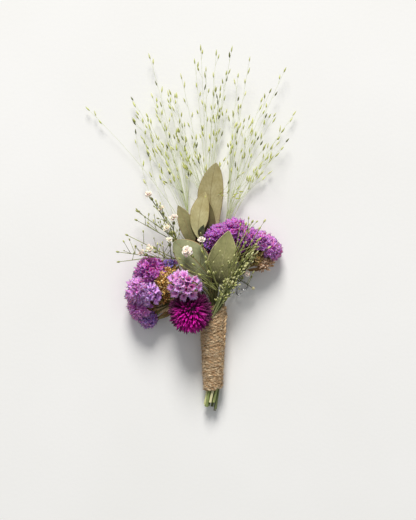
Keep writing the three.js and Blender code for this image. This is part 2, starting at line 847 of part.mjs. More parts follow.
const EUCALYPTUS = [
  {
    name: 'eucalyptus_front',
    route: {
      slot: 'frontLeaves', cut: -44, exit: 0,
      way: [point(1.3, 3.5, 7.2), point(1.3, 5, 8), point(1.2, 7, 9)],
    },
    leaves: [
      {
        name: 'leaf_left', colour: COLOURS.leafDark, stalk: point(0.7, 7.9, 9.4),
        base: point(-0.3, 10.4, 9.8), tip: point(-17.8, 28.8, 11.5), width: 12.6, widest: 0.6, blunt: 0.6,
        arch: 0.8, cup: -0.08, roll: 4,
      },
      {
        name: 'leaf_right', colour: COLOURS.leafDark, stalk: point(1.7, 8, 9.7),
        base: point(1.8, 9.6, 10.6), tip: point(6.7, 33.2, 17.5), width: 13.6, widest: 0.42, blunt: 0.8,
        arch: 1.2, cup: 0.1, roll: -10,
      },
    ],
  },
  {
    name: 'eucalyptus_back',
    route: {
      slot: 'backLeaves', cut: -46, exit: 2,
      way: [point(2, 11, 5.3), point(-3, 18, 6.2), point(-6, 26.5, 7)],
    },
    leaves: [
      {
        name: 'leaf_tall', colour: COLOURS.leafPale, stalk: point(-3.4, 20.6, 5.4),
        base: point(1.2, 27, 3.8), tip: point(0.9, 63.9, 11), width: 11.8, widest: 0.62, blunt: 0.7,
        arch: -0.8, cup: 0.06, roll: -3, bow: -5.5,
      },
      {
        name: 'leaf_low', colour: COLOURS.leafPale, stalk: point(-6.4, 27.6, 7.4),
        base: point(-7.2, 30.2, 8), tip: point(-5, 52.5, 10.6), width: 8.6, widest: 0.5, blunt: 0.7,
        arch: 1.4, cup: 0.08, roll: -3, bow: -1.6,
      },
      {
        name: 'leaf_small', colour: COLOURS.leafPale, stalk: point(-7, 26.6, 7.2),
        base: point(-9.6, 26.6, 7), tip: point(-16.2, 44.8, 8.6), width: 7.4, widest: 0.5, blunt: 0.75,
        arch: 0.4, cup: 0.08, roll: 8, bow: 1.5,
      },
      {
        name: 'leaf_bud', colour: COLOURS.leafDark, stalk: point(-5.6, 27.4, 8.2),
        base: point(-6.6, 30.8, 10.2), tip: point(-5.6, 36.6, 12.5), width: 3, widest: 0.45, blunt: 0.9,
        arch: 0.3, cup: 0.1, roll: 0,
      },
    ],
  },
];

function eucalyptusTwig({ name, route, leaves }) {
  place(`${name}_twig`, stem(route), COLOURS.dryStalk);
  for (const leaf of leaves) {
    const blade = leafBlade(leaf);
    const inward = leaf.base.clone().lerp(leaf.tip, 0.12);
    const petiole = limb([leaf.stalk, leaf.base, inward], TWIG_RADIUS, TWIG_RADIUS, 4);
    place(`${name}_${leaf.name}`, join([blade, petiole]), leaf.colour, 0.7);
  }
}

// Steel pin: a bent wire pushed into the winding, its loop and hook showing beside the stems

const PIN = {
  depth: -8,
  distance: 4.75,
  degrees: -35,
  hole: 0.55,
  approach: [point(7.6, 6.6, 2.3), point(9.4, 9, 2.2)],
  loop: [
    point(11.4, 10.2, 2.2), point(13.6, 10.3, 2.2), point(15.2, 9.2, 2.2), point(15, 7.6, 2.2),
    point(13.4, 6.7, 2.2), point(12.2, 7.1, 2.2),
  ],
  leg: [
    point(10.3, 9.5, 2.2), point(10.4, 7, 2.2), point(10.4, 5.2, 2.2), point(10.9, 4.4, 2.2),
    point(11.7, 4.3, 2.2), point(12.4, 4.9, 2.2),
  ],
};

function inWall(y) {
  const { centre } = alongHandle(y);
  const turn = radians(PIN.degrees);
  return centre.add(point(PIN.distance * Math.cos(turn), 0, PIN.distance * Math.sin(turn)));
}

function steelPin() {
  const shank = [inWall(PIN.depth), inWall(-4), inWall(0.5), ...PIN.approach, ...PIN.loop];
  return join([
    limb(shank, WIRE_RADIUS, WIRE_RADIUS, 5),
    limb(PIN.leg, WIRE_RADIUS, WIRE_RADIUS, 5),
  ]);
}

function pinHole() {
  return limb([inWall(PIN.depth - 0.5), inWall(0), inWall(5)], PIN.hole, PIN.hole, 6);
}

// Assembly

place('twine_wrap', twineWrap().subtract(pinHole()).subtract(belowTable()), COLOURS.twine, 1);
place('steel_pin', steelPin(), COLOURS.steel, 0.35, 1);
STATICE.forEach(staticeSpray);
bloom();
GRASS.tufts.forEach(grassTuft);
FILLER.sprays.forEach(fillerSpray);
EUCALYPTUS.forEach(eucalyptusTwig);

const box = new THREE.Box3().setFromObject(boutonniere);
const middle = box.getCenter(new THREE.Vector3());
boutonniere.position.set(-middle.x, -middle.y, -box.min.z);

export default boutonniere;
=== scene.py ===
import math
import random

import bpy
from mathutils import Matrix, Vector, noise


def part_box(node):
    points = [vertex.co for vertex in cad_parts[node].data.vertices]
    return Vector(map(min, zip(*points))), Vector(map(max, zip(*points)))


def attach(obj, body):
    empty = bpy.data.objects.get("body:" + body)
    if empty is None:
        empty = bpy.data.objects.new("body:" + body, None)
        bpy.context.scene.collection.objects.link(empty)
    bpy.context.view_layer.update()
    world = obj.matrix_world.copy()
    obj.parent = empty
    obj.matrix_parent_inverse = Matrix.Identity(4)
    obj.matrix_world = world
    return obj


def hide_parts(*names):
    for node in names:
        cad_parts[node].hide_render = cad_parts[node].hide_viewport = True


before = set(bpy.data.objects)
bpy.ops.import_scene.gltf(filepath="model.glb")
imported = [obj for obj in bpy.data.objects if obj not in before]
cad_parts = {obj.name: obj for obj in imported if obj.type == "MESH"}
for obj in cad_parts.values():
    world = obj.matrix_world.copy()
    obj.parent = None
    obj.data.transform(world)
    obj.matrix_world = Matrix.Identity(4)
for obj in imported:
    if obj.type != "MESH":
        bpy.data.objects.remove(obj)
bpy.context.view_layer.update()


# Camera
# It hangs straight above the bunch, as in the photograph. The bunch is drawn in millimetres from the upper
# end of its handle, with the table at height 0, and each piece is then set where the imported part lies. The
# packed winding's right and upper ends tie the two together.

MM = 0.001
WINDING_RIGHT = 5.6013
WINDING_TOP = -0.7
VIEW_MIDDLE = Vector((-2.7, 20.25, 8))
VIEW_HEIGHT = 234
CAMERA_DISTANCE = 850
SENSOR = 24

_, winding_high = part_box("twine_wrap")
place_of_zero = (winding_high.x - WINDING_RIGHT * MM, winding_high.y - WINDING_TOP * MM, 0)
TO_ROW = Matrix.Translation(place_of_zero) @ Matrix.Diagonal((MM, MM, MM, 1))

bpy.ops.object.camera_add(
    location=TO_ROW @ (VIEW_MIDDLE + Vector((0, 0, CAMERA_DISTANCE))),
    rotation=(0, 0, 0),
)
camera = bpy.context.object
camera.data.sensor_width = SENSOR
camera.data.lens = SENSOR * CAMERA_DISTANCE / VIEW_HEIGHT
camera.data.clip_start = 0.01
bpy.context.scene.camera = camera


# Table and daylight
# The bunch lies on a white painted table. Soft daylight comes low from a window beyond the grass, and the
# white room fills the shadows.


def paint(code):
    """A colour written as hex digits, as the linear numbers that a shader takes"""
    parts = [int(code[i:i + 2], 16) / 255 for i in (1, 3, 5)]
    return tuple(((c + 0.055) / 1.055) ** 2.4 if c > 0.04 else c / 12.92 for c in parts) + (1.0,)


def pick(sockets, key):
    """A socket by its place in the list or by its identifier"""
    if isinstance(key, int):
        return sockets[key]
    return next(socket for socket in sockets if socket.identifier == key)


class Wire:
    """A number on its way through a finish; a sum or product with it adds a Math node"""

    def __init__(self, finish, socket):
        self.finish = finish
        self.socket = socket

    def math(self, operation, first, second=0.0):
        return self.finish.add("Math", {0: first, 1: second}, operation=operation)

    def __add__(self, other):
        return self.math("ADD", self, other)

    def __radd__(self, other):
        return self.math("ADD", other, self)

    def __sub__(self, other):
        return self.math("SUBTRACT", self, other)

    def __rsub__(self, other):
        return self.math("SUBTRACT", other, self)

    def __mul__(self, other):
        return self.math("MULTIPLY", self, other)

    def __rmul__(self, other):
        return self.math("MULTIPLY", other, self)

    def __abs__(self):
        return self.math("ABSOLUTE", self)


class Finish:
    """A material; each of its nodes comes from add()"""

    def __init__(self, name, roughness, **fixed):
        self.material = bpy.data.materials.new(name)
        self.material.use_nodes = True
        self.tree = self.material.node_tree
        self.shader = self.tree.nodes["Principled BSDF"]
        self.shader.inputs["Roughness"].default_value = roughness
        self.shader.inputs["Specular IOR Level"].default_value = 0.3
        for key, value in fixed.items():
            self.shader.inputs[key.replace("_", " ")].default_value = value

    def feed(self, socket, value):
        if isinstance(value, Wire):
            self.tree.links.new(value.socket, socket)
        else:
            socket.default_value = value

    def add(self, kind, sockets=None, output=0, **settings):
        node = self.tree.nodes.new("ShaderNode" + kind)
        for key, value in settings.items():
            setattr(node, key, value)
        for key, value in (sockets or {}).items():
            self.feed(pick(node.inputs, key), value)
        return Wire(self, pick(node.outputs, output))

    def where(self):
        return self.add("TexCoord", output="Object")

    def stretched(self, x, y, z):
        return self.add("Mapping", {"Vector": self.where(), "Scale": (x, y, z)})

    def cloud(self, size, detail=3.0, at=None):
        """Noise from 0 to 1 whose blotches are about size millimetres wide"""
        place = at or self.where()
        value = self.add("TexNoise", {"Vector": place, "Scale": 1 / (size * MM), "Detail": detail})
        return self.span(value, 0.3, 0.7)

    def span(self, value, low, high):
        """0 up to low, 1 from high"""
        return self.add("MapRange", {0: value, 1: low, 2: high, 3: 0.0, 4: 1.0})

    def mark(self, name, output="Fac"):
        """A number or colour that the mesh carries"""
        return self.add("Attribute", output=output, attribute_name=name)

    def mix(self, share, first, second):
        sockets = {"Factor_Float": share, "A_Color": first, "B_Color": second}
        return self.add("Mix", sockets, "Result_Color", data_type="RGBA")

    def done(self, colour, relief, depth):
        """Colour, and relief of a depth in millimetres, go into the shader"""
        self.feed(self.shader.inputs["Base Color"], colour)
        bump = self.add("Bump", {"Height": relief, "Distance": depth * MM, "Strength": 1.0})
        self.feed(self.shader.inputs["Normal"], bump)


TABLE_SIZE = 4.4
WINDOW_AIM = Vector((0, 15, 10))
WINDOW_FROM = Vector((-0.06, 0.84, 0.55))
WINDOW_DISTANCE = 3.2
WINDOW_SIZE = 1.3
WINDOW_POWER = 126
WINDOW_TINT = (1.0, 0.975, 0.94)
ROOM_LIGHT = 0.375
ROOM_TINT = (0.97, 0.985, 1.0, 1.0)

bpy.ops.mesh.primitive_plane_add(size=TABLE_SIZE, location=(0, 0, 0))
table = bpy.context.object
table.name = "table"
table_white = Finish("white painted table", 0.55)
table_cloud = table_white.cloud(90)
table_grain = table_white.cloud(1.5)
table_white.done(table_white.mix(table_cloud, paint("#efefed"), paint("#f3f3f2")), table_grain, 0.01)
table.data.materials.append(table_white.material)

bpy.ops.object.light_add(
    type="AREA",
    location=TO_ROW @ WINDOW_AIM + WINDOW_FROM.normalized() * WINDOW_DISTANCE,
    rotation=WINDOW_FROM.to_track_quat("Z", "Y").to_euler(),
)
window = bpy.context.object
window.data.shape = "DISK"
window.data.size = WINDOW_SIZE
window.data.energy = WINDOW_POWER
window.data.color = WINDOW_TINT

room = bpy.data.worlds.new("white room")
room.use_nodes = True
glow = room.node_tree.nodes["Background"]
glow.inputs["Color"].default_value = ROOM_TINT
glow.inputs["Strength"].default_value = ROOM_LIGHT
bpy.context.scene.world = room

# The plain view keeps the flowers' colours, which the default one washes out
bpy.context.scene.view_settings.view_transform = "Standard"


# Twine winding
# The handle is jute twine wound round the stems by hand: two loose plies twisted together, hairy and uneven.
# Its last length climbs steeply over the right side and tucks in behind.

HANDLE_FOOT = Vector((-0.4, -38, 3.95))
HANDLE_HEAD = Vector((-0.3, 3.5, 5.6))
TURNS = 22
STEPS_PER_TURN = 72
FIRST_ANGLE = 1.2
WRAP_RADIUS = (3.7, 5.45)
TURN_SLANT = (0.5, 3.6)
WRAP_END = -4.3
TWINE_RELIEF = 0.45
STRAND_LIFT = -0.13
UNEVEN_LIFT = 0.2
UNEVEN_PITCH = 0.02
PLY_RADIUS = 0.45
UNEVEN_PLY = 0.16
PLY_REACH = 0.35
TWIST_LENGTH = 3.6
PLY_TONES = ["#ffe6bc", "#e2b688"]
CLIMBING_TONES = ["#fbdcae", "#e8c294"]
DIRT_TONE = "#7c5634"
# Painted shade in the grooves, where a ply turns inwards
GROOVE_SHADE = "#4a3018"
# Painted shade on the layer under the turns, seen in the gaps between them
SLEEVE_SHADE = "#5d4226"
SLEEVE_RINGS = 12
CLIMB = (0.5, 0.98)
CLIMB_STEPS = 120
CLIMB_ANGLES = (0.05, 0.42)
CLIMB_SLANT = 0.55
CLIMB_SUNK = -0.2
CLIMB_OUT = 0.3
CLIMB_TUCKED = 0.85
TUCK_ANGLE = 0.9
FIBRES = 2700
FIBRE_RADIUS = 0.05
FIBRE_SLOPE = 0.02
FIBRE_REACH = (0.12, 0.55)
FIBRE_LIFT = (0.1, 0.9)
FIBRE_TONES = ["#fbe4bb", "#f0d0a4", "#7a5632", "#fff4d6", "#54381e"]
LONG_FIBRES = 0.04
LONGER = 2.4
FLAT_BOTTOM = 0.02


def lerp(low, high, share):
    return low + (high - low) * share


def held(value, low=0, high=1):
    """The value, kept between two limits"""
    return min(max(value, low), high)


def blended(first, second, share):
    return tuple(lerp(a, b, share) for a, b in zip(first, second))


def along_handle(y):
    """The middle of the handle at a height, and how far up it that is"""
    share = (y - HANDLE_FOOT.y) / (HANDLE_HEAD.y - HANDLE_FOOT.y)
    return HANDLE_FOOT.lerp(HANDLE_HEAD, share), share


def on_winding(share, angle, lift):
    """A point at an angle round the winding, lift millimetres above its grooves"""
    slip = lerp(*TURN_SLANT, share * share) * math.cos(angle)
    height = lerp(HANDLE_FOOT.y, WRAP_END, share) + slip
    middle, _ = along_handle(height)
    radius = lerp(*WRAP_RADIUS, share) + lift
    return Vector((middle.x + radius * math.cos(angle), height, middle.z + radius * math.sin(angle)))


def wobble(*place):
    """Smooth noise from about -1 to 1"""
    return noise.noise(Vector(place)) * 1.6


def for_each(points, value):
    """The value once for each point, unless it is a list of them already"""
    return value if isinstance(value, list) else [value] * len(points)


def tint(piece, colour):
    """The corners of a mesh carry one colour, or each its own"""
    mesh = piece.data
    tints = mesh.attributes.get("tint") or mesh.attributes.new("tint", "FLOAT_COLOR", "POINT")
    tints.data.foreach_set("color", [part for one in for_each(mesh.vertices, colour) for part in one])


def stalks(lines, fineness=1):
    """One mesh of many closed tubes. A line is its points, its radius and its colour, or lists of these"""
    drawing = bpy.data.curves.new("stalks", "CURVE")
    drawing.dimensions = "3D"
    drawing.bevel_depth = 1.0
    drawing.bevel_resolution = fineness
    around = 4 + 2 * fineness
    colours = []
    for points, radius, colour in lines:
        spline = drawing.splines.new("POLY")
        spline.points.add(len(points) - 1)
        for knot, place, thickness in zip(spline.points, points, for_each(points, radius)):
            knot.co = (*place, 1.0)
            knot.radius = thickness
        for tone in for_each(points, colour):
            colours += [tone] * around
    piece = bpy.data.objects.new("stalks", drawing)
    bpy.context.scene.collection.objects.link(piece)
    bpy.ops.object.select_all(action="DESELECT")
    bpy.context.view_layer.objects.active = piece
    piece.select_set(True)
    bpy.ops.object.convert(target="MESH")
    piece = bpy.context.object
    bpy.ops.object.mode_set(mode="EDIT")
    bpy.ops.mesh.select_all(action="SELECT")
    bpy.ops.mesh.fill_holes(sides=0)
    bpy.ops.mesh.select_all(action="SELECT")
    bpy.ops.mesh.normals_make_consistent(inside=False)
    bpy.ops.object.mode_set(mode="OBJECT")
    assert len(colours) == len(piece.data.vertices)
    tint(piece, colours)
    bpy.ops.object.shade_smooth_by_angle(angle=math.radians(50))
    return piece


def joined(pieces):
    """Several meshes made one"""
    bpy.ops.object.select_all(action="DESELECT")
    for piece in pieces:
        piece.select_set(True)
    bpy.context.view_layer.objects.active = pieces[0]
    bpy.ops.object.join()
    return pieces[0]


def above_table(piece):
    """What rests on the table is flat there"""
    for corner in piece.data.vertices:
        corner.co.z = max(corner.co.z, FLAT_BOTTOM)
    return piece


def settle(piece, name, finish, slot, *nodes):
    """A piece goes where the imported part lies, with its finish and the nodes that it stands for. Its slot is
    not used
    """
    piece.name = name
    piece.data.name = name
    piece.data.transform(TO_ROW)
    piece.data.materials.clear()
    piece.data.materials.append(finish)
    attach(piece, "root")
    if nodes:
        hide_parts(*nodes)


jute = random.Random(5)
strand = []
for step in range(TURNS * STEPS_PER_TURN + 1):
    share = step / (TURNS * STEPS_PER_TURN)
    turn = share * TURNS
    uneven = UNEVEN_PITCH * wobble(turn * 0.9, 3.0, 0.0)
    lift = STRAND_LIFT + UNEVEN_LIFT * wobble(turn * 1.7, 0.0, 7.0)
    strand.append(on_winding(held(share + uneven), turn * 2 * math.pi + FIRST_ANGLE, lift))

# The last length comes out from under the turns, runs up the right side and is tucked in behind at its end
climbing = []
for step in range(CLIMB_STEPS + 1):
    t = step / CLIMB_STEPS
    share = lerp(*CLIMB, t)
    emerged = min(t / CLIMB_OUT, 1)
    angle = lerp(*CLIMB_ANGLES, emerged) - TUCK_ANGLE * max(t - CLIMB_TUCKED, 0) / (1 - CLIMB_TUCKED)
    slip = lerp(*TURN_SLANT, share * share) * math.cos(angle) * CLIMB_SLANT
    lift = lerp(CLIMB_SUNK, TWINE_RELIEF, emerged) + 0.1 * wobble(t * 9, 5.0, 1.0)
    climbing.append(on_winding(share, angle, lift) - Vector((0, slip, 0)))


def twisted(centres, phase, colour):
    """One ply round a strand's centre line, with painted shade where it turns inwards into the groove, and in
    places dirty
    """
    points = []
    radii = []
    colours = []
    travelled = 0.0
    for i, centre in enumerate(centres):
        ahead = centres[min(i + 1, len(centres) - 1)] - centres[max(i - 1, 0)]
        travelled += ahead.length / 2
        middle, _ = along_handle(centre.y)
        out = (centre - Vector((middle.x, centre.y, middle.z))).normalized()
        beside = ahead.normalized().cross(out).normalized()
        spin = travelled / TWIST_LENGTH * 2 * math.pi + phase
        points.append(centre + PLY_REACH * (math.cos(spin) * out + math.sin(spin) * beside))
        radii.append(PLY_RADIUS * (1 + UNEVEN_PLY * wobble(travelled * 0.35, phase, 2.0)))
        dirty = blended(colour, paint(DIRT_TONE), max(wobble(travelled * 0.07, phase, 9.0), 0) * 0.9)
        colours.append(blended(dirty, paint(GROOVE_SHADE), (0.5 - 0.5 * math.cos(spin)) ** 2 * 0.75))
    return points, radii, colours


plies = []
for centres, tones in ((strand, PLY_TONES), (climbing, CLIMBING_TONES)):
    plies += [twisted(centres, 0.0, paint(tones[0])), twisted(centres, math.pi, paint(tones[1]))]
winding = stalks(plies)

# Under the turns lies a first layer of the same twine, painted dark as the shade in the gaps between the turns
shares = [i / SLEEVE_RINGS for i in range(SLEEVE_RINGS)]
layer = [HANDLE_FOOT.lerp(HANDLE_HEAD, share) for share in shares]
sleeve = stalks([(layer, [lerp(*WRAP_RADIUS, share) for share in shares], paint(SLEEVE_SHADE))], 8)
for corner in sleeve.data.vertices:
    middle, share = along_handle(corner.co.y)
    corner.co.y += lerp(*TURN_SLANT, share * share) * (corner.co.x - middle.x) / lerp(*WRAP_RADIUS, share)
winding = joined([winding, sleeve])

hairs = []
for _ in range(FIBRES):
    share = jute.random()
    angle = jute.uniform(-0.5, math.pi + 0.5)
    slope = jute.gauss(0, FIBRE_SLOPE)
    reach = jute.uniform(*FIBRE_REACH)
    proud = jute.uniform(*FIBRE_LIFT) ** 2 * (LONGER if jute.random() < LONG_FIBRES else 1)
    bend = []
    for k in (-0.5, 0.0, 0.5, 1.0):
        lift = TWINE_RELIEF + 0.02 + proud * k * k
        bend.append(on_winding(held(share + slope * k), angle + reach * k, lift))
    hairs.append((bend, [FIBRE_RADIUS] * 3 + [FIBRE_RADIUS * 0.5], paint(jute.choice(FIBRE_TONES))))
fuzz = stalks(hairs, 0)

twine_finish = Finish("jute twine", 0.95)
fibre_grain = twine_finish.cloud(0.35, 4.0)
dirt = twine_finish.cloud(2.2, 4.0)
worn = twine_finish.mix(dirt * 0.5 + 0.5, paint("#a4784a"), twine_finish.mark("tint", "Color"))
twine_finish.done(twine_finish.mix(fibre_grain * 0.3, worn, paint("#f8e0b8")), fibre_grain, 0.14)
settle(above_table(winding), "twine_winding", twine_finish.material, "twine", "twine_wrap")
settle(above_table(fuzz), "twine_fuzz", twine_finish.material, "twine")


# Steel pin
# A bent bright wire pushed into the winding, which pins the bunch to a lapel. Its loop and hook lie free in
# the shadow to the right.

WIRE_RADIUS = 0.35
PIN_DISTANCE = 4.75
PIN_ANGLE = math.radians(-35)
PIN_HEIGHTS = [-8, -4, 0.5]
PIN_LOOP = [
    (7.6, 6.6, 2.3), (9.4, 9, 2.2), (11.4, 10.2, 2.2), (13.6, 10.3, 2.2), (15.2, 9.2, 2.2), (15, 7.6, 2.2),
    (13.4, 6.7, 2.2), (12.2, 7.1, 2.2),
]
PIN_LEG = [
    (10.3, 9.5, 2.2), (10.4, 7, 2.2), (10.4, 5.2, 2.2), (10.9, 4.4, 2.2), (11.7, 4.3, 2.2), (12.4, 4.9, 2.2),
]
PIN_STEPS = 6
WHITE = (1.0, 1.0, 1.0, 1.0)


def in_wall(y):
    """A point of the pin in the wall of the winding"""
    middle, _ = along_handle(y)
    return middle + PIN_DISTANCE * Vector((math.cos(PIN_ANGLE), 0, math.sin(PIN_ANGLE)))


def rounded(points):
    """A smooth line through points"""
    points = [Vector(point) for point in points]
    line = []
    for i in range(len(points) - 1):
        before = points[max(i - 1, 0)]
        start, end = points[i], points[i + 1]
        after = points[min(i + 2, len(points) - 1)]
        for k in range(PIN_STEPS):
            t = k / PIN_STEPS
            square = (2 * before - 5 * start + 4 * end - after) * t * t
            cube = (3 * start - before - 3 * end + after) * t * t * t
            line.append(0.5 * (2 * start + (end - before) * t + square + cube))
    return line + [points[-1]]


shank = [in_wall(y) for y in PIN_HEIGHTS] + PIN_LOOP
wire = stalks([(rounded(points), WIRE_RADIUS, WHITE) for points in (shank, PIN_LEG)], 3)
steel = Finish("bright steel wire", 0.28, Metallic=1.0)
# Painted reflections: dark and white blotches in the wire's colour stand in for what it reflects; the same
# cloud gives faint bumps
reflection_and_bump_cloud = steel.cloud(1.6)
steel.done(steel.mix(reflection_and_bump_cloud, paint("#2c2d30"), WHITE), reflection_and_bump_cloud, 0.01)
settle(wire, "steel_wire", steel.material, "steel", "steel_pin")


# Eucalyptus leaves
# Two dried twigs carry matt leaves with a faint midrib, a thin pale rim and a few spots. The leaves are thin
# and stiff, and each joins its twig by a short stalk.

STEM_RADIUS = 0.6
BORE = (3.2, 4.2)
FOOT_LEAN = Vector((-1.3, 0, 0))
INNER = 0.98
OUTER = 2.4
CUT_POINTS = 4
HANDLE_POINTS = 6
WAY_STEPS = 12
LEAF_THICKNESS = 0.34
PETIOLE_RADIUS = 0.34
PETIOLE_REACH = 0.12
VEIN_SLANT = 0.55
VEIN_CYCLES = 95

# A stem's distance from the middle of the handle, its angle in degrees there, and the tone of its foot,
# painted darker as shade on the right side
SLOTS = {
    "frontLeaves": (INNER, 90, "#8f9f58"),
    "babysBreathLeft": (INNER, 210, "#6e7c46"),
    "backLeaves": (INNER, 330, "#59643a"),
    "lilac": (OUTER, 90, "#f2ecba"),
    "bloom": (OUTER, 130, "#8c9c5c"),
    "leftStatice": (OUTER, 170, "#dfe0a0"),
    "blueStatice": (OUTER, 210, "#cdd494"),
    "grassLeft": (OUTER, 250, "#9dad64"),
    "grassMiddle": (OUTER, 290, "#7c8a50"),
    "grassRight": (OUTER, 330, "#5c6840"),
    "rightStatice": (OUTER, 10, "#6f7a50"),
    "babysBreathFront": (OUTER, 50, "#a9b573"),
}
DRIED_END = ("grassRight", paint("#4e3a2c"))


def in_handle(slot, y):
    """A point of a stem inside the handle"""
    distance, degrees, _ = SLOTS[slot]
    middle, share = along_handle(y)
    reach = distance * lerp(1, BORE[1] / BORE[0], held(share))
    angle = math.radians(degrees)
    return middle + Vector((reach * math.cos(angle), 0, reach * math.sin(angle)))


def bent(points, steps):
    """Points along a line that the given points pull into a bend"""
    line = []
    for i in range(steps + 1):
        pulled = [Vector(point) for point in points]
        while len(pulled) > 1:
            pulled = [a.lerp(b, i / steps) for a, b in zip(pulled, pulled[1:])]
        line.append(pulled[0])
    return line


def stem_line(slot, cut, leave, way, colour):
    """A stem from its cut end, through the handle, to the fork that it carries"""
    foot = in_handle(slot, HANDLE_FOOT.y)
    foot_colour = paint(SLOTS[slot][2])
    points = [(in_handle(slot, cut) + FOOT_LEAN).lerp(foot, i / CUT_POINTS) for i in range(CUT_POINTS)]
    points += [foot.lerp(in_handle(slot, leave), i / HANDLE_POINTS) for i in range(HANDLE_POINTS)]
    points += bent([in_handle(slot, leave)] + way, WAY_STEPS)
    radii = []
    colours = []
    for i in range(len(points)):
        radii.append(STEM_RADIUS * (1 - 0.12 * i / len(points) + 0.05 * wobble(i * 0.8, cut, 0.0)))
        colours.append(foot_colour if i < CUT_POINTS + 2 else colour)
    if slot == DRIED_END[0]:
        colours[0] = DRIED_END[1]
    return points, radii, colours


def leaf(base, tip, width, widest, blunt, arch, cup, roll, seed, bow=0, rows=26, columns=12):
    """A thin blade: a grid shaped to the leaf's outline, given its thickness and softened"""
    base = Vector(base)
    tip = Vector(tip)
    bpy.ops.object.select_all(action="DESELECT")
    bpy.ops.mesh.primitive_grid_add(x_subdivisions=columns, y_subdivisions=rows, size=1)
    blade = bpy.context.object
    skew = math.log(0.5) / math.log(widest)
    middle = base.lerp(tip, 0.5) + Vector((bow, 0, arch))
    forward = (tip - base).normalized()
    level = Vector((0, 0, 1)).cross(forward).normalized()
    across_leaf = Matrix.Rotation(math.radians(roll), 3, forward) @ level
    up = -forward.cross(across_leaf)
    up = -up if up.z < 0 else up
    for corner in blade.data.vertices:
        u = corner.co.x * 2
        v = (1 - math.cos(math.pi * (corner.co.y + 0.5))) / 2
        inside = max(math.sin(math.pi * v ** skew), 0.0)
        half = max(width / 2 * inside ** blunt, 0.25) * (1 + 0.03 * wobble(v * 6, seed, u))
        spine = base.lerp(middle, v).lerp(middle.lerp(tip, v), v)
        wave = 0.3 * u * u * wobble(v * 5, u * 0.7, seed) + 0.12 * abs(u) ** 0.6
        corner.co = spine + across_leaf * u * half + up * (cup * u * u * half + wave)
    thicken = blade.modifiers.new("thickness", "SOLIDIFY")
    thicken.thickness = LEAF_THICKNESS
    thicken.offset = 0
    bpy.ops.object.modifier_apply(modifier="thickness")
    soften = blade.modifiers.new("soft rim", "SUBSURF")
    soften.levels = 1
    soften.render_levels = 1
    bpy.ops.object.modifier_apply(modifier="soft rim")
    tint(blade, WHITE)
    bpy.ops.object.shade_smooth()
    return blade


def leaf_finish(name, light, dark, foot, rim, shaded=(0.6, 0.02)):
    """Matt leaf: blotches, a midrib and side veins by the leaf's own map, painted shade towards the foot where
    the foot tone is dark, and a thin rim
    """
    finish = Finish(name, 0.62)
    u = finish.add("SeparateXYZ", {0: finish.add("UVMap")}, 0)
    v = finish.add("SeparateXYZ", {0: finish.add("UVMap")}, 1)
    side = abs(u - 0.5)
    blotch = finish.cloud(5.5, 4.0)
    mottle = finish.cloud(1.1, 4.0)
    body = finish.mix(blotch * 0.7 + mottle * 0.3, paint(dark), paint(light))
    # Painted shade: towards its foot the leaf takes the foot tone, nearly black on the front green leaf
    body = finish.mix(finish.span(v, *shaded) * 0.9, body, paint(foot))
    herring = finish.add("Math", {0: (v - side * VEIN_SLANT) * VEIN_CYCLES}, operation="SINE")
    veins = finish.span(herring, 0.82, 1.0) * 0.16
    midrib = 1 - finish.span(side, 0.006, 0.02)
    body = finish.mix(veins, body, paint(rim))
    body = finish.mix(midrib * 0.45, body, paint(rim))
    edge = finish.span(side + mottle * 0.012, 0.478, 0.497)
    body = finish.mix(edge * 0.8, body, paint(rim))
    spots = finish.add("TexVoronoi", {"Vector": finish.where(), "Scale": 1 / (4.2 * MM)})
    body = finish.mix((1 - finish.span(spots, 0.05, 0.12)) * 0.6, body, paint("#d0cf9a"))
    relief = mottle * 0.4 + veins * 2 + midrib * 0.8
    finish.done(body, relief, 0.12)
    return finish.material


PALE_LEAF = leaf_finish("pale eucalyptus leaf", "#c9c192", "#a59763", "#c9c795", "#8d7446")
GREEN_LEAF = leaf_finish("green eucalyptus leaf", "#b5b37a", "#87875a", "#242316", "#cfc794", (0.56, 0.16))
GREY_LEAF = leaf_finish("grey-green eucalyptus leaf", "#a3a67e", "#7b825e", "#474c36", "#b98d62")
OLIVE_LEAF = leaf_finish("olive eucalyptus leaf", "#a8a272", "#7d7850", "#4a482e", "#b08a66")
DARK_LEAF = leaf_finish("young eucalyptus leaf", "#5c6347", "#454b36", "#6b5a48", "#7c7a58")
SHADED_LEAF = leaf_finish("shaded eucalyptus leaf", "#7a7048", "#5f5838", "#33301c", "#8f8058")
TWIG_BROWN = paint("#8d7050")

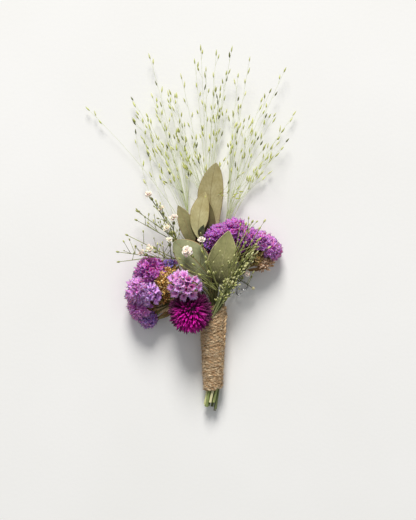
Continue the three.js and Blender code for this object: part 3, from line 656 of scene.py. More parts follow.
# A stem is its slot, the heights of its cut end and of its way out of the handle, and where it goes then.
# A leaf is its name, finish and slot, the point of the twig that it joins, and its form.
EUCALYPTUS = [
    {
        "name": "eucalyptus_front",
        "stem": ("frontLeaves", -44, 0, [(1.3, 3.5, 7.2), (1.3, 5, 8), (1.2, 7, 9)]),
        "leaves": [
            ("left", GREY_LEAF, "leaf_green", (0.7, 7.9, 9.4), dict(
                base=(-0.3, 10.4, 9.8), tip=(-17.8, 28.8, 11.5), width=13.4, widest=0.6, blunt=0.6,
                arch=0.8, cup=-0.08, roll=4, seed=1.0, bow=2.6)),
            ("right", GREEN_LEAF, "leaf_green", (1.7, 8, 9.7), dict(
                base=(1.8, 9.6, 10.6), tip=(6.7, 33.2, 17.5), width=13.6, widest=0.39, blunt=0.72,
                arch=1.2, cup=0.1, roll=-10, seed=2.0)),
        ],
    },
    {
        "name": "eucalyptus_back",
        "stem": ("backLeaves", -46, 2, [(2, 11, 5.3), (-3, 18, 6.2), (-6, 26.5, 7)]),
        "leaves": [
            ("tall", PALE_LEAF, "leaf_pale", (-3.4, 20.6, 5.4), dict(
                base=(1.2, 27, 3.8), tip=(0.9, 63.9, 11), width=11.8, widest=0.62, blunt=0.7,
                arch=-0.8, cup=0.06, roll=-3, seed=3.0, bow=-5.5)),
            ("low", PALE_LEAF, "leaf_pale", (-6.4, 27.6, 7.4), dict(
                base=(-7.2, 30.2, 8), tip=(-4, 51, 9.1), width=8.6, widest=0.5, blunt=0.7,
                arch=1.2, cup=0.08, roll=-3, seed=4.0, bow=-1.8)),
            ("small", OLIVE_LEAF, "leaf_pale", (-7, 26.6, 7.2), dict(
                base=(-9.6, 26.6, 7), tip=(-16.2, 44.8, 8.6), width=7.4, widest=0.5, blunt=0.75,
                arch=0.4, cup=0.08, roll=8, seed=5.0, bow=1.5)),
            ("bud", DARK_LEAF, "leaf_green", (-5.6, 27.4, 8.2), dict(
                base=(-6.6, 30.8, 10.2), tip=(-4.6, 36, 12.5), width=3, widest=0.45, blunt=0.9,
                arch=0.3, cup=0.1, roll=0, seed=6.0)),
        ],
    },
]

stalk_finish = Finish("dried stalk", 0.75)
bark = stalk_finish.cloud(0.6, 4.0, stalk_finish.stretched(1, 0.2, 1))
stalk_tone = stalk_finish.mix(bark * 0.4, stalk_finish.mark("tint", "Color"), paint("#4f4a2c"))
facing = stalk_finish.add("SeparateXYZ", {0: stalk_finish.add("NewGeometry", output="Normal")}, 1)
cut_end = 1 - stalk_finish.span(facing, -0.93, -0.85)
stalk_finish.done(stalk_finish.mix(cut_end * 0.7, stalk_tone, paint("#c9bf8d")), bark, 0.06)


def with_petiole(joint, form):
    """A leaf and the short stalk that joins it to its twig"""
    base = Vector(form["base"])
    inward = base.lerp(Vector(form["tip"]), PETIOLE_REACH)
    petiole = stalks([(bent([joint, base, inward], 6), PETIOLE_RADIUS, TWIG_BROWN)])
    return [leaf(**form), petiole]


for twig in EUCALYPTUS:
    settle(stalks([stem_line(*twig["stem"], TWIG_BROWN)], 3), twig["name"] + "_wood", stalk_finish.material,
           "dry_stalk", twig["name"] + "_twig")
    for name, finish, slot, joint, form in twig["leaves"]:
        node = twig["name"] + "_leaf_" + name
        settle(joined(with_petiole(joint, form)), node + "_blade", finish, slot, node)

# Two more small leaves stand in the shadow between the back ones
INNER_LEAVES = [
    ((-5.4, 27, 7.2), dict(
        base=(-3, 30.4, 6.9), tip=(-2.7, 47, 8.5), width=5.4, widest=0.36, blunt=0.8,
        arch=0.5, cup=0.1, roll=0, seed=7.0, bow=1.9)),
    ((-6.8, 26.2, 6), dict(
        base=(-7, 26.8, 5.6), tip=(-9.8, 36, 6.3), width=5.6, widest=0.4, blunt=0.8,
        arch=0.3, cup=0.1, roll=0, seed=8.0, bow=0.8)),
]
inner = []
for joint, form in INNER_LEAVES:
    blade, petiole = with_petiole(joint, form)
    inner += [petiole, blade]
settle(joined(inner), "eucalyptus_back_inner_blades", SHADED_LEAF, "leaf_green")


# Statice
# Papery dried calyces stand crowded on the heads: each is a pleated funnel with a frilled rim. Dry brown
# bracts sit under and between them, on forking stalks with narrow curled wings.

GOLDEN_ANGLE = math.pi * (3 - math.sqrt(5))
CROWDING = 0.78
CLEARING = 0.85
HEAD_CORE = 0.52
LILAC_CORE = 0.3
CORE_SHADE = 0.75
CALYX_LENGTHS = (0.84, 1.06)
CALYX_WIDTHS = (0.85, 1.15)
CALYX_FLATNESS = (0.65, 1.0)
CALYX_STRAY = 0.17
LILAC_STRAY = 0.06
SCALE_SIZE = (0.9, 0.35)
SCALE_LENGTHS = (0.55, 0.8)
HUSK_WIDTHS = (0.3, 0.55)
HUSK_THICKNESS = 0.16
HUSK_LENGTHS = (1.3, 2.4)
BRANCH_RADIUS = 0.55
SHOOT_RADIUS = 0.3
CALYX_SIDES = 12
FUNNEL_SIDES = 24


def spread(axis, cap, count):
    """Evenly spread directions in a cap round an axis"""
    axis = axis.normalized()
    helper = Vector((0, 1, 0)) if abs(axis.z) > 0.9 else Vector((0, 0, 1))
    side = helper.cross(axis).normalized()
    other = axis.cross(side).normalized()
    depth = 1 - math.cos(math.radians(cap))
    directions = []
    for i in range(count):
        rise = 1 - depth * (i + 0.5) / count
        reach = math.sqrt(1 - rise * rise)
        turn = i * GOLDEN_ANGLE
        directions.append(axis * rise + side * reach * math.cos(turn) + other * reach * math.sin(turn))
    return directions


def grown(sides, rings):
    """A pattern grown upwards from a disc. A ring is its height and radius, and radius 0 closes it"""
    bpy.ops.object.select_all(action="DESELECT")
    bpy.ops.mesh.primitive_circle_add(vertices=sides, radius=rings[0][1], fill_type="NGON")
    pattern = bpy.context.object
    bpy.ops.object.mode_set(mode="EDIT")
    bpy.ops.mesh.select_mode(type="FACE")
    bpy.ops.mesh.select_all(action="SELECT")
    for (low, old), (high, new) in zip(rings, rings[1:]):
        bpy.ops.mesh.extrude_region_move(TRANSFORM_OT_translate={"value": (0, 0, high - low)})
        if new > 0:
            bpy.ops.transform.resize(value=(new / old, new / old, 1), center_override=(0, 0, high))
        else:
            bpy.ops.mesh.merge(type="CENTER")
    bpy.ops.mesh.select_all(action="SELECT")
    bpy.ops.mesh.normals_make_consistent(inside=False)
    bpy.ops.object.mode_set(mode="OBJECT")
    bpy.ops.object.shade_smooth()
    return pattern


def marked(pattern, name, values):
    """The corners of a mesh carry a number each"""
    pattern.data.attributes.new(name, "FLOAT", "POINT").data.foreach_set("value", values)


def measured(pattern):
    """The pattern's corners carry how far up it they are, with 1 at its top"""
    top = max(corner.co.z for corner in pattern.data.vertices)
    marked(pattern, "reach", [corner.co.z / top for corner in pattern.data.vertices])
    return pattern


def ball(radius, fineness=2):
    bpy.ops.mesh.primitive_ico_sphere_add(subdivisions=fineness, radius=radius)
    return measured(bpy.context.object)


def put_away(*patterns):
    for pattern in patterns:
        bpy.data.objects.remove(pattern)


def aimed(foot, along, turn, size):
    """Where a pattern goes that grows along a direction from its foot"""
    facing = along.to_track_quat("Z", "Y").to_matrix().to_4x4()
    return Matrix.Translation(foot) @ facing @ Matrix.Rotation(turn, 4, "Z") @ Matrix.Diagonal((*size, 1))


def planted(seedlings):
    """Copies of patterns, each with a mesh and colour of its own, joined in one piece"""
    twins = []
    for pattern, matrix, colour in seedlings:
        twin = pattern.copy()
        twin.data = pattern.data.copy()
        twin.data.transform(matrix)
        tint(twin, colour)
        bpy.context.scene.collection.objects.link(twin)
        twins.append(twin)
    return joined(twins)


def toned(colour, chance, amount):
    """A colour a little lighter or darker"""
    share = 1 + chance.uniform(-amount, amount)
    return tuple(min(part * share, 1.0) for part in colour[:3]) + (1.0,)


def strayed(direction, chance, amount):
    """A direction turned a little at random"""
    stray = Vector((chance.gauss(0, 1), chance.gauss(0, 1), chance.gauss(0, 1)))
    return (direction + amount * stray).normalized()


def anywhere(chance):
    """A direction at random"""
    return strayed(Vector((0, 0, 0)), chance, 1)


def calyx(opening, frill, throat, seed, sides=CALYX_SIDES):
    """A papery funnel: outer wall up to the pleated rim and inner wall down to the throat"""
    mouth = lerp(0.55, 1.0, opening)
    pattern = grown(sides, [
        (0, 0.1), (0.5, 0.24), (0.8, 0.6 * mouth), (1.0, mouth),
        (max(0.84, throat + 0.14), 0.5 * mouth), (max(0.55, throat + 0.03), 0.2), (throat, 0),
    ])
    folds = []
    inside = []
    for corner in pattern.data.vertices:
        inside.append(min(1.0, 0.3 / throat) if corner.index >= 4 * sides else 0.0)
        angle = math.atan2(corner.co.y, corner.co.x)
        share = (math.hypot(corner.co.x, corner.co.y) / mouth) ** 1.5
        pleat = math.cos(sides / 2 * angle)
        lobe = 1 + share * (0.15 * math.cos(5 * angle + seed) + 0.05 * pleat)
        corner.co.x *= lobe
        corner.co.y *= lobe
        corner.co.z += frill * share * (math.cos(3 * angle + 2 * seed) + 0.6 * pleat)
        folds.append(0.5 + 0.5 * share * pleat)
    marked(pattern, "fold", folds)
    marked(pattern, "inside", inside)
    return measured(pattern)


RUFFLED = [
    calyx(1.0, 0.07, 0.74, 0.0), calyx(0.8, 0.09, 0.7, 1.0), calyx(0.6, 0.11, 0.72, 2.0),
    calyx(0.9, 0.1, 0.66, 3.0),
]
OPEN = [calyx(1.0, 0.05, 0.32, 0.5, FUNNEL_SIDES), calyx(0.85, 0.07, 0.32, 1.7, FUNNEL_SIDES)]
SCALE_LEAF = measured(grown(4, [(0, 0.25), (0.4, 1), (0.75, 0.7), (1, 0)]))
HEAP = ball(1)
GOLDEN_HUSKS = ["#fad88a", "#eec272", "#deb064", "#ffeab0", "#c69c56"]
BROWN_HUSKS = ["#d69c5c", "#b07c42", "#e8be78", "#c28e4e", "#b3a25c"]
# The dark brown third tone of the olive husks is painted shade in the gaps behind the thicket
OLIVE_HUSKS = ["#d0ac70", "#c09c5c", "#5c3c1e", "#ccc078", "#ecd69c"]
TAN_HUSKS = ["#f0d0b2", "#e0ba9c", "#fae2c8", "#d6b088"]
OLIVE_WINGS = ["#8c8a52", "#6f6f3c", "#a59762"]
TAN_WINGS = ["#b0936a", "#8f6f4a", "#c2a883"]
DARK_WINGS = ["#5a4426", "#4b4a26", "#7a5832"]
SCALE_TONES = ["#8a6a3c", "#6f6a3a", "#a5814a"]
CORE_SHADOW_TONE = "#4a1450"
FADED_TONE = "#b46cd6"
STEM_GREEN = "#7f8050"
DRY_BROWN = "#9a7a4e"

# A head is its root, direction, length, cap in degrees, count of calyces, their width and colour. Husks are a
# middle, a reach, a count of dry bracts and their tones. A wing is its base, tip, width and tones. The lilac
# head's few wide mouths are placed one by one.
STATICE = [
    {
        "name": "left_statice", "slot": "purple_petals", "stalk_slot": "dry_stalk", "bark": DRY_BROWN,
        "stem": ("leftStatice", -45, -5, [(-2, 1, 6), (-12, 4, 2.4), (-22, 4, 5)]),
        "funnels": RUFFLED,
        "heads": [
            ((-28.5, 14, 8), (-0.25, 0.45, 0.85), 7.3, 82, 76, 1.9, "#d264c4"),
            ((-32, 6.3, 8.3), (-0.5, 0.15, 0.8), 7.5, 84, 66, 2.3, "#f8a4ec"),
            ((-27.8, 4.8, 10), (0, 0.05, 1), 6.5, 80, 52, 2.2, "#f4b0fa"),
            ((-32.6, -0.8, 6), (-0.4, -0.2, 0.9), 6.4, 106, 70, 1.8, "#fa96e6"),
            ((-30, -5.9, 5.2), (-0.1, -0.25, 1), 4.7, 92, 40, 1.5, "#bc8cd8"),
        ],
        "husks": [
            ((-23.1, 9.8, 12), (3, 4.6, 2.4), 400, GOLDEN_HUSKS),
            ((-22, 4.2, 9.8), (1.6, 2.4, 1.4), 90, BROWN_HUSKS),
            ((-27, -0.2, 6.2), (2.8, 2.8, 1.2), 120, BROWN_HUSKS),
        ],
        "wings": [
            ((-19, 5, 8), (-24.5, 13.5, 9.8), 1.5, OLIVE_WINGS),
            ((-17, 4.5, 7), (-21.2, 14.5, 9), 1.3, TAN_WINGS),
            ((-18, 2.5, 7.5), (-27.5, -2.6, 7.6), 2.0, TAN_WINGS),
            ((-18.2, 0.8, 6.6), (-27.8, -5.2, 5.8), 2.1, OLIVE_WINGS),
            ((-17, -0.8, 5.6), (-27.4, -7.4, 4.6), 1.8, OLIVE_WINGS),
            ((-18, 3.8, 8), (-27.8, 0.4, 8.4), 1.4, TAN_WINGS),
            ((-17.6, 0, 7.4), (-25, -3.8, 7), 1.5, TAN_WINGS),
            ((-16.6, 2, 7.2), (-22.8, -3.6, 6.8), 1.9, OLIVE_WINGS),
            ((-16.8, 3.4, 8), (-24.6, 1.6, 8.2), 1.6, OLIVE_WINGS),
            ((-17, 1, 6), (-29.4, -1.8, 7), 1.7, TAN_WINGS),
            ((-17, -2, 5), (-25.6, -6.4, 5.6), 2.2, OLIVE_WINGS),
            ((-17, 1.6, 8), (-26, -1.4, 8.8), 0.9, DARK_WINGS),
            ((-17.4, -0.6, 7.4), (-24.6, -5.2, 7.4), 0.9, DARK_WINGS),
            ((-17, 2.6, 8.2), (-23, 0.6, 8.8), 0.8, DARK_WINGS),
            ((-16.6, 0.4, 7.8), (-21.6, -2.8, 8.2), 1.0, TAN_WINGS),
            ((-17, -1.6, 6.4), (-22.6, -5.6, 6.6), 1.0, TAN_WINGS),
        ],
    },
    {
        "name": "blue_statice", "slot": "violet_petals", "stalk_slot": "green_stalk", "bark": STEM_GREEN,
        "stem": ("blueStatice", -46, -5, [(-2, 6, 3.4), (-9, 11, 4), (-15, 14, 4.2)]),
        "funnels": RUFFLED,
        "heads": [((-20, 17, 4.8), (-0.1, 0.3, 0.9), 4.2, 75, 14, 1.5, "#9a82d2")],
        "husks": [((-18, 15.6, 6), (1.8, 1.6, 1.2), 40, GOLDEN_HUSKS)],
        "wings": [((-13.4, 12.5, 4.5), (-21, 19.6, 7.6), 1.1, OLIVE_WINGS)],
    },
    {
        "name": "lilac_statice", "slot": "lilac_petals", "stalk_slot": "green_stalk", "bark": STEM_GREEN,
        "stem": ("lilac", -44, -0.5, [(0.2, 3, 9.8), (-5, 9.5, 12), (-9, 9.5, 15)]),
        "funnels": OPEN,
        "heads": [((-12.4, 8.9, 16.4), (0, -0.06, 1), 9.4, 51, 13, 2.4, "#ffb6ee")],
        "mouths": [
            (-19.3, 12.4, 20.5), (-17.1, 10.9, 23.2), (-16.6, 14, 20.2), (-13.5, 13.8, 21),
            (-14.6, 10.6, 24.6), (-10.9, 11.6, 22.8), (-9.6, 8.6, 24), (-6, 8.4, 19), (-19, 7.8, 20.4),
            (-15.4, 7.4, 24), (-17.5, 4.9, 20.8), (-13.6, 3.8, 21.4), (-9.6, 4.2, 20.8), (-12.4, 7, 24.6),
            (-8, 11.6, 19.4),
        ],
        "husks": [((-20.6, 14.4, 10.4), (1.8, 1.8, 1.4), 50, GOLDEN_HUSKS)],
        "wings": [
            ((-7, 8.5, 14), (-17.6, 15.4, 14.2), 1.5, OLIVE_WINGS),
            ((-8, 11, 13.5), (-19.6, 12.4, 13), 1.3, TAN_WINGS),
        ],
    },
    {
        "name": "right_statice", "slot": "purple_petals", "stalk_slot": "dry_stalk", "bark": DRY_BROWN,
        "stem": ("rightStatice", -47, 4, [(5, 9, 6.5), (10, 12, 5), (14, 18, 5)]),
        "funnels": RUFFLED,
        "heads": [
            ((2.2, 30.2, 7.6), (-0.15, 0.3, 0.9), 6.3, 72, 52, 1.9, "#bc5cc0"),
            ((-1.2, 26.8, 6.4), (-0.4, -0.2, 0.9), 4.6, 90, 22, 1.8, "#8a56b4"),
            ((8.5, 32, 6.5), (0, 0.45, 0.9), 7, 80, 66, 1.9, "#cc68c8"),
            ((14.8, 28, 6.5), (0, 0.3, 0.95), 7, 80, 64, 1.9, "#c266c2"),
            ((20.6, 27, 6), (0.2, 0.35, 0.9), 6.3, 80, 54, 2.0, "#e88ade"),
            ((25, 25, 5.6), (0.5, 0.3, 0.8), 5.4, 100, 48, 1.9, "#ee92e2"),
        ],
        "husks": [
            ((16.4, 22.2, 9), (5.6, 3.8, 2.2), 400, OLIVE_HUSKS),
            ((22.2, 18.8, 6.2), (4, 2.8, 1.8), 270, TAN_HUSKS),
        ],
        "wings": [
            ((14, 15.5, 6), (23.6, 16.8, 6.4), 1.7, TAN_WINGS),
            ((13, 16.5, 7), (24.4, 20.2, 7.4), 1.6, TAN_WINGS),
            ((12, 15, 6.5), (13.6, 24.4, 8.6), 1.3, OLIVE_WINGS),
        ],
    },
]

paper = Finish("papery calyx", 0.7, Subsurface_Weight=0.35, Subsurface_Scale=0.002)
# Painted light on the calyces: shade darkens the foot of the outer wall, the throat and the pleat valleys;
# painted highlights lighten the rim and the pleat ridges; the crease cloud adds painted shade and relief
crease_shade_and_relief = paper.cloud(0.45, 3.0)
depth_in = paper.mark("reach")
petal = paper.mark("tint", "Color")
pleats = paper.mark("fold")
shade = paper.mix(0.75, petal, (0.16, 0.01, 0.18, 1))
pale = paper.mix(0.5, petal, (1.0, 0.7, 1.0, 1))
footed = paper.mix(paper.span(depth_in, 0.62, 0.32) * 0.85, petal, shade)
throated = paper.mix(paper.span(depth_in, 0.85, 0.4) * paper.mark("inside") * 0.8, footed, shade)
folded = paper.mix(paper.span(pleats, 0.45, 0.0) * 0.45, throated, shade)
rimmed = paper.mix(paper.span(depth_in, 0.88, 1.06) * 0.55, folded, pale)
ridged = paper.mix(paper.span(pleats, 0.6, 1.0) * 0.45, rimmed, pale)
paper.done(paper.mix(crease_shade_and_relief * 0.2, ridged, (0.3, 0.03, 0.34, 1)), crease_shade_and_relief, 0.12)


def flecked(name, roughness, flecks, depth, end=None, **fixed):
    """The piece's own tint under flecks of a size, detail, share and tone, with another tone at its end"""
    finish = Finish(name, roughness, **fixed)
    size, detail, amount, fleck = flecks
    grain = finish.cloud(size, detail)
    colour = finish.mark("tint", "Color")
    if end:
        first, full, share, other = end
        colour = finish.mix(finish.span(finish.mark("reach"), first, full) * share, colour, paint(other))
    finish.done(finish.mix(grain * amount, colour, paint(fleck)), grain, depth)
    return finish.material


dry_scale = flecked("dry bract", 0.8, (0.8, 3.0, 0.22, "#5b3f22"), 0.08)


def in_clearing(place, husks):
    """Whether dry bracts show there between the calyces"""
    for middle, reach, *_ in husks:
        aside = (place - middle) * CLEARING
        if (aside.x / reach.x) ** 2 + (aside.y / reach.y) ** 2 < 1:
            return True
    return False


def husk_cluster(middle, reach, count, tones, chance):
    """Small dry bracts scattered through a rounded space round a brown middle, pointing up and outwards"""
    heap = Matrix.Translation(middle - Vector((0, 0, 0.4 * reach.z))) @ Matrix.Diagonal((*(0.75 * reach), 1))
    # The middle heap takes the third tone, which for the olive husks is painted shade
    scales = [(HEAP, heap, paint(tones[2]))]
    for _ in range(count):
        away = anywhere(chance) * chance.random() ** 0.4
        foot = middle + Vector((away.x * reach.x, away.y * reach.y, away.z * reach.z))
        along = strayed((away + Vector((0, 0.2, 0.7))).normalized(), chance, 0.35)
        size = (chance.uniform(*HUSK_WIDTHS), HUSK_THICKNESS, chance.uniform(*HUSK_LENGTHS))
        place = aimed(foot, along, chance.uniform(-0.8, 0.8), size)
        scales.append((SCALE_LEAF, place, paint(chance.choice(tones))))
    return scales


def wing(base, tip, width, tone, seed):
    """A narrow curled blade along a dry stalk"""
    roll = 25 * wobble(seed, 0.0, 0.0)
    blade = leaf(base, tip, width, 0.45, 0.6, arch=0.7, cup=0.5, roll=roll, seed=seed, rows=12, columns=4)
    tint(blade, paint(tone))
    return blade


for spray in STATICE:
    chance = random.Random(len(spray["name"]) + len(spray["heads"]))
    heads = [(Vector(root), Vector(axis).normalized(), *rest) for root, axis, *rest in spray["heads"]]
    husks = [(Vector(middle), Vector(reach), *rest) for middle, reach, *rest in spray["husks"]]
    mouths = [Vector(mouth) for mouth in spray.get("mouths", [])]
    funnels = []
    scales = []
    cores = []
    for index, (root, axis, length, cap, count, mouth, colour) in enumerate(heads):
        others = heads[:index] + heads[index + 1:]
        cores.append(ball(length * (LILAC_CORE if mouths else HEAD_CORE)))
        # Painted shade: each head's core ball is dark, as the shade in the gaps between its calyces
        core_shadow_tone = blended(paint(colour), paint(CORE_SHADOW_TONE), CORE_SHADE)
        funnels.append((cores[-1], Matrix.Translation(root), core_shadow_tone))
        ends = list(mouths)
        for along in [] if mouths else spread(axis, cap, count):
            end = root + along * length * chance.uniform(*CALYX_LENGTHS)
            hidden = any((end - other[0]).length < other[2] * CROWDING for other in others)
            if not hidden and not in_clearing(end, husks):
                ends.append(end)
        for end in ends:
            foot = root.lerp(Vector((end.x, end.y, root.z)), 0.5) if mouths else root
            reach = (end - foot).length
            along = (end - foot) / reach
            wide = mouth * chance.uniform(*CALYX_WIDTHS)
            size = (wide, wide * chance.uniform(*CALYX_FLATNESS), reach)
            tone = blended(paint(colour), paint(FADED_TONE), chance.uniform(0, 0.35) ** 1.5)
            along = strayed(along, chance, LILAC_STRAY if mouths else CALYX_STRAY)
            place = aimed(foot, along, chance.uniform(0, 6.3), size)
            funnels.append((chance.choice(spray["funnels"]), place, toned(tone, chance, 0.16)))
        for along in spread(axis, min(cap + 25, 125), count // 2):
            if along.dot(axis) < 0.5:
                size = (*SCALE_SIZE, length * chance.uniform(*SCALE_LENGTHS))
                tone = paint(chance.choice(SCALE_TONES))
                scales.append((SCALE_LEAF, aimed(root, along, chance.uniform(0, 6.3), size), tone))
    settle(above_table(planted(funnels)), spray["name"] + "_calyces", paper.material, spray["slot"],
           spray["name"] + "_heads")
    put_away(*cores)

    bark_tone = paint(spray["bark"])
    fork = spray["stem"][3][-1]
    lines = [stem_line(*spray["stem"], bark_tone)]
    for root, axis, length, *_ in heads:
        points = bent([fork, root - axis * length * 0.7, root], 8)
        lines.append((points, BRANCH_RADIUS, toned(bark_tone, chance, 0.2)))
    for middle, reach, count, tones in husks:
        scales += husk_cluster(middle, reach, count, tones, chance)
        for end in (middle + 0.8 * reach, middle - 0.6 * reach + Vector((0, 0, reach.z))):
            lines.append((bent([fork, middle, end], 6), SHOOT_RADIUS, toned(bark_tone, chance, 0.2)))
    wings = []
    for index, (base, tip, width, tones) in enumerate(spray["wings"]):
        wings.append(wing(base, tip, width, chance.choice(tones), index + 0.5))
    settle(above_table(joined([planted(scales)] + wings)), spray["name"] + "_bracts", dry_scale,
           spray["stalk_slot"])
    settle(stalks(lines, 2), spray["name"] + "_stalks", stalk_finish.material, spray["stalk_slot"],
           spray["name"] + "_stem")


# Magenta bloom
# A round head of stiff pointed bracts, glossy and folded, packed in spirals round a hidden core. It stands on
# a stem of its own.

BLOOM_CENTRE = Vector((-10.6, -2.9, 12.6))
BLOOM_AXIS = Vector((-0.02, 0.52, 0.85)).normalized()
BLOOM_LIT_SIDE = Vector((-0.05, -0.5, 0.86)).normalized()
BLOOM_RADIUS = 9.9
BLOOM_CORE = 6
BLOOM_CAP = 134
BLOOM_BRACTS = 580
BRACT_WIDTH = 0.47
BRACT_THICKNESS = 0.17
BRACT_LEAN = 0.6
BRACT_END_RANGE = (0.86, 1.04)
BRACT_START_RANGE = (0.8, 1.05)
BRACT_WIDTH_RANGE = (0.8, 1.25)
BLOOM_SHADE = "#42062f"
BLOOM_LIT_TONE = "#e814b8"
BLOOM_HEART_SHADE = "#240416"
BLOOM_WAY = [(-2, 3.5, 8.4), (-8, 3, 7), (-9.9, 0, 9.5)]

chance = random.Random(51)
bract = measured(grown(4, [(0, 0.35), (0.35, 1), (0.72, 0.9), (0.92, 0.4), (1, 0)]))
bracts = []
for along in spread(BLOOM_AXIS, BLOOM_CAP, BLOOM_BRACTS):
    outer = BLOOM_RADIUS * chance.uniform(*BRACT_END_RANGE)
    start = BLOOM_CORE * chance.uniform(*BRACT_START_RANGE)
    outwards = along - along.dot(BLOOM_AXIS) * BLOOM_AXIS
    lean = strayed((along + BRACT_LEAN * outwards).normalized(), chance, 0.2)
    size = (BRACT_WIDTH * chance.uniform(*BRACT_WIDTH_RANGE), BRACT_THICKNESS, (outer - start) * 1.12)
    # Painted light: bracts facing up and towards the handle's foot are painted bright, and those facing the
    # lilac head are painted in its shade
    lit_share = max((along.dot(BLOOM_LIT_SIDE) - 0.35) / 0.65, 0) ** 1.2
    tone = toned(blended(paint(BLOOM_SHADE), paint(BLOOM_LIT_TONE), lit_share), chance, 0.35)
    bracts.append((bract, aimed(BLOOM_CENTRE + along * start, lean, chance.uniform(-0.7, 0.7), size), tone))
# The dark heart seen between the bracts is painted shade
heart = ball(BLOOM_CORE, 3)
bracts.append((heart, Matrix.Translation(BLOOM_CENTRE), paint(BLOOM_HEART_SHADE)))
# Painted shade: each bract turns nearly black towards its foot, deep between its neighbours
magenta = flecked("magenta bract", 0.4, (0.4, 2.0, 0.2, "#e04ab4"), 0.06, (0.6, 0.08, 0.9, "#22030f"))
settle(planted(bracts), "bloom_bracts", magenta, "magenta_petals", "bloom_head")

points, radii, colours = stem_line("bloom", -46, -4, BLOOM_WAY, paint(STEM_GREEN))
seat = BLOOM_CENTRE - BLOOM_AXIS * BLOOM_CORE * 0.3
bloom_line = (points + [seat], radii + [0.9], colours + [paint(STEM_GREEN)])
settle(stalks([bloom_line], 3), "bloom_stalk", stalk_finish.material, "green_stalk", "bloom_stem")


# Grass
# Three tufts of a hair-thin panicle grass fan out beyond the leaves. Their stalks are pale and nearly
# straight, and small pointed spikelets stand along them on short side stalks.

GRASS_RADIUS = (0.11, 0.055)
SPIKELET_LENGTH = 2.8
SPIKELET_RADIUS = 0.36
SPIKELET_SPACING = 6.8
SPIKELET_LENGTH_RANGE = (0.8, 1.2)
SPIKELET_GIRTH_RANGE = (0.8, 1.15)
SIDE_RADIUS = (0.07, 0.055)
SIDE_LENGTHS = (0.8, 3.6)
SIDE_ANGLES = (8, 26)
LOWEST_SPIKELET = 0.6
STALK_END = 0.97
BARE_SHARE = 0.4
BARE_STEEP = 0.62
BARE_FINER = 0.52
BARE_TIP = 0.86
BEND_STEPS = 9
GRASS_PALE = paint("#d3dab2")
GRASS_GREEN = paint("#b0bd7c")
SPIKELET_TONES = [
    "#dadf84", "#c9d271", "#e4e6a2", "#cfd478", "#dbdd88", "#bdc26e", "#dfe094", "#a2a656", "#c6cc74",
    "#666a3e",
]

# Each tuft has the tips of its main stalks and a field, from its low left to its high right corner, where its
# finer stalks end. Its slant raises the field's lower edge towards the left. Steep stalks bend over a knee.
GRASS = [
    {
        "name": "grass_left", "seed": 61,
        "stem": ("grassLeft", -46, -2, [(0.2, 10, 2.8), (-5, 16, 2.2), (-9, 24, 2.2)]),
        "tips": [(-28.8, 111, 4.5), (-56.3, 87.8, 3), (-36.5, 92.3, 4), (-25.2, 88.7, 6), (-16.7, 93.2, 4)],
        "field": ((-36, 50, 2), (-9, 94, 9)), "slant": 18, "finer": 17,
        "steep": [
            ((-30, 36, 3), (-35.2, 77, 5)), ((-27, 42, 3), (-32, 82, 4)), ((-22, 42, 3), (-27.4, 73, 6)),
        ],
    },
    {
        "name": "grass_middle", "seed": 62,
        "stem": ("grassMiddle", -44, 1, [(2.2, 10, 2.4), (-1, 17, 2), (-3, 25, 2)]),
        "tips": [
            (-3.6, 104.4, 12), (-14.4, 101.3, 9), (-8.6, 108.5, 7), (-5.9, 114, 10), (0.9, 112, 8),
            (7.7, 113.4, 11), (5.4, 103.5, 6), (2.7, 95.9, 10),
        ],
        "field": ((-22, 46, 2), (13, 96, 12)), "slant": 0, "finer": 27, "steep": [],
    },
    {
        "name": "grass_right", "seed": 63,
        "stem": ("grassRight", -48, 3.5, [(4.2, 10, 3.2), (3.8, 15, 2.2), (3.8, 22, 2)]),
        "tips": [
            (15.8, 109.4, 9), (10.8, 102.6, 4), (31.5, 104.9, 5), (24.8, 95, 11), (35.6, 85.5, 3),
            (30.2, 77.4, 9), (32.4, 73.4, 5), (27.5, 66.6, 8), (24.3, 59, 2.5),
        ],
        "field": ((7, 57, 2), (29, 94, 11)), "slant": 0, "finer": 15, "steep": [],
    },
]


def grass_bend(start, tip):
    """A stalk rises steeply from where it starts and then leans out to its tip"""
    bend = Vector((lerp(start.x, tip.x, 0.35), lerp(start.y, tip.y, 0.5), min(start.z, tip.z) + 0.4))
    return [start, bend, tip]


def at(bend, share):
    """The point of a bend at a share of it"""
    start, middle, end = bend
    return start.lerp(middle, share).lerp(middle.lerp(end, share), share)


def arc(bend):
    """The points of a bend"""
    return [at(bend, i / BEND_STEPS) for i in range(BEND_STEPS + 1)]


spikelet = measured(grown(6, [(0, 0.3), (0.3, 1), (0.62, 0.75), (1, 0)]))
husk_finish = flecked("grass spikelet", 0.7, (0.6, 2.0, 0.25, "#8d944c"), 0.05, (0.6, 1.0, 0.5, "#7c7e40"))
straw = flecked("grass stalk", 0.7, (3.0, 2.0, 0.4, "#e6ead4"), 0.02)

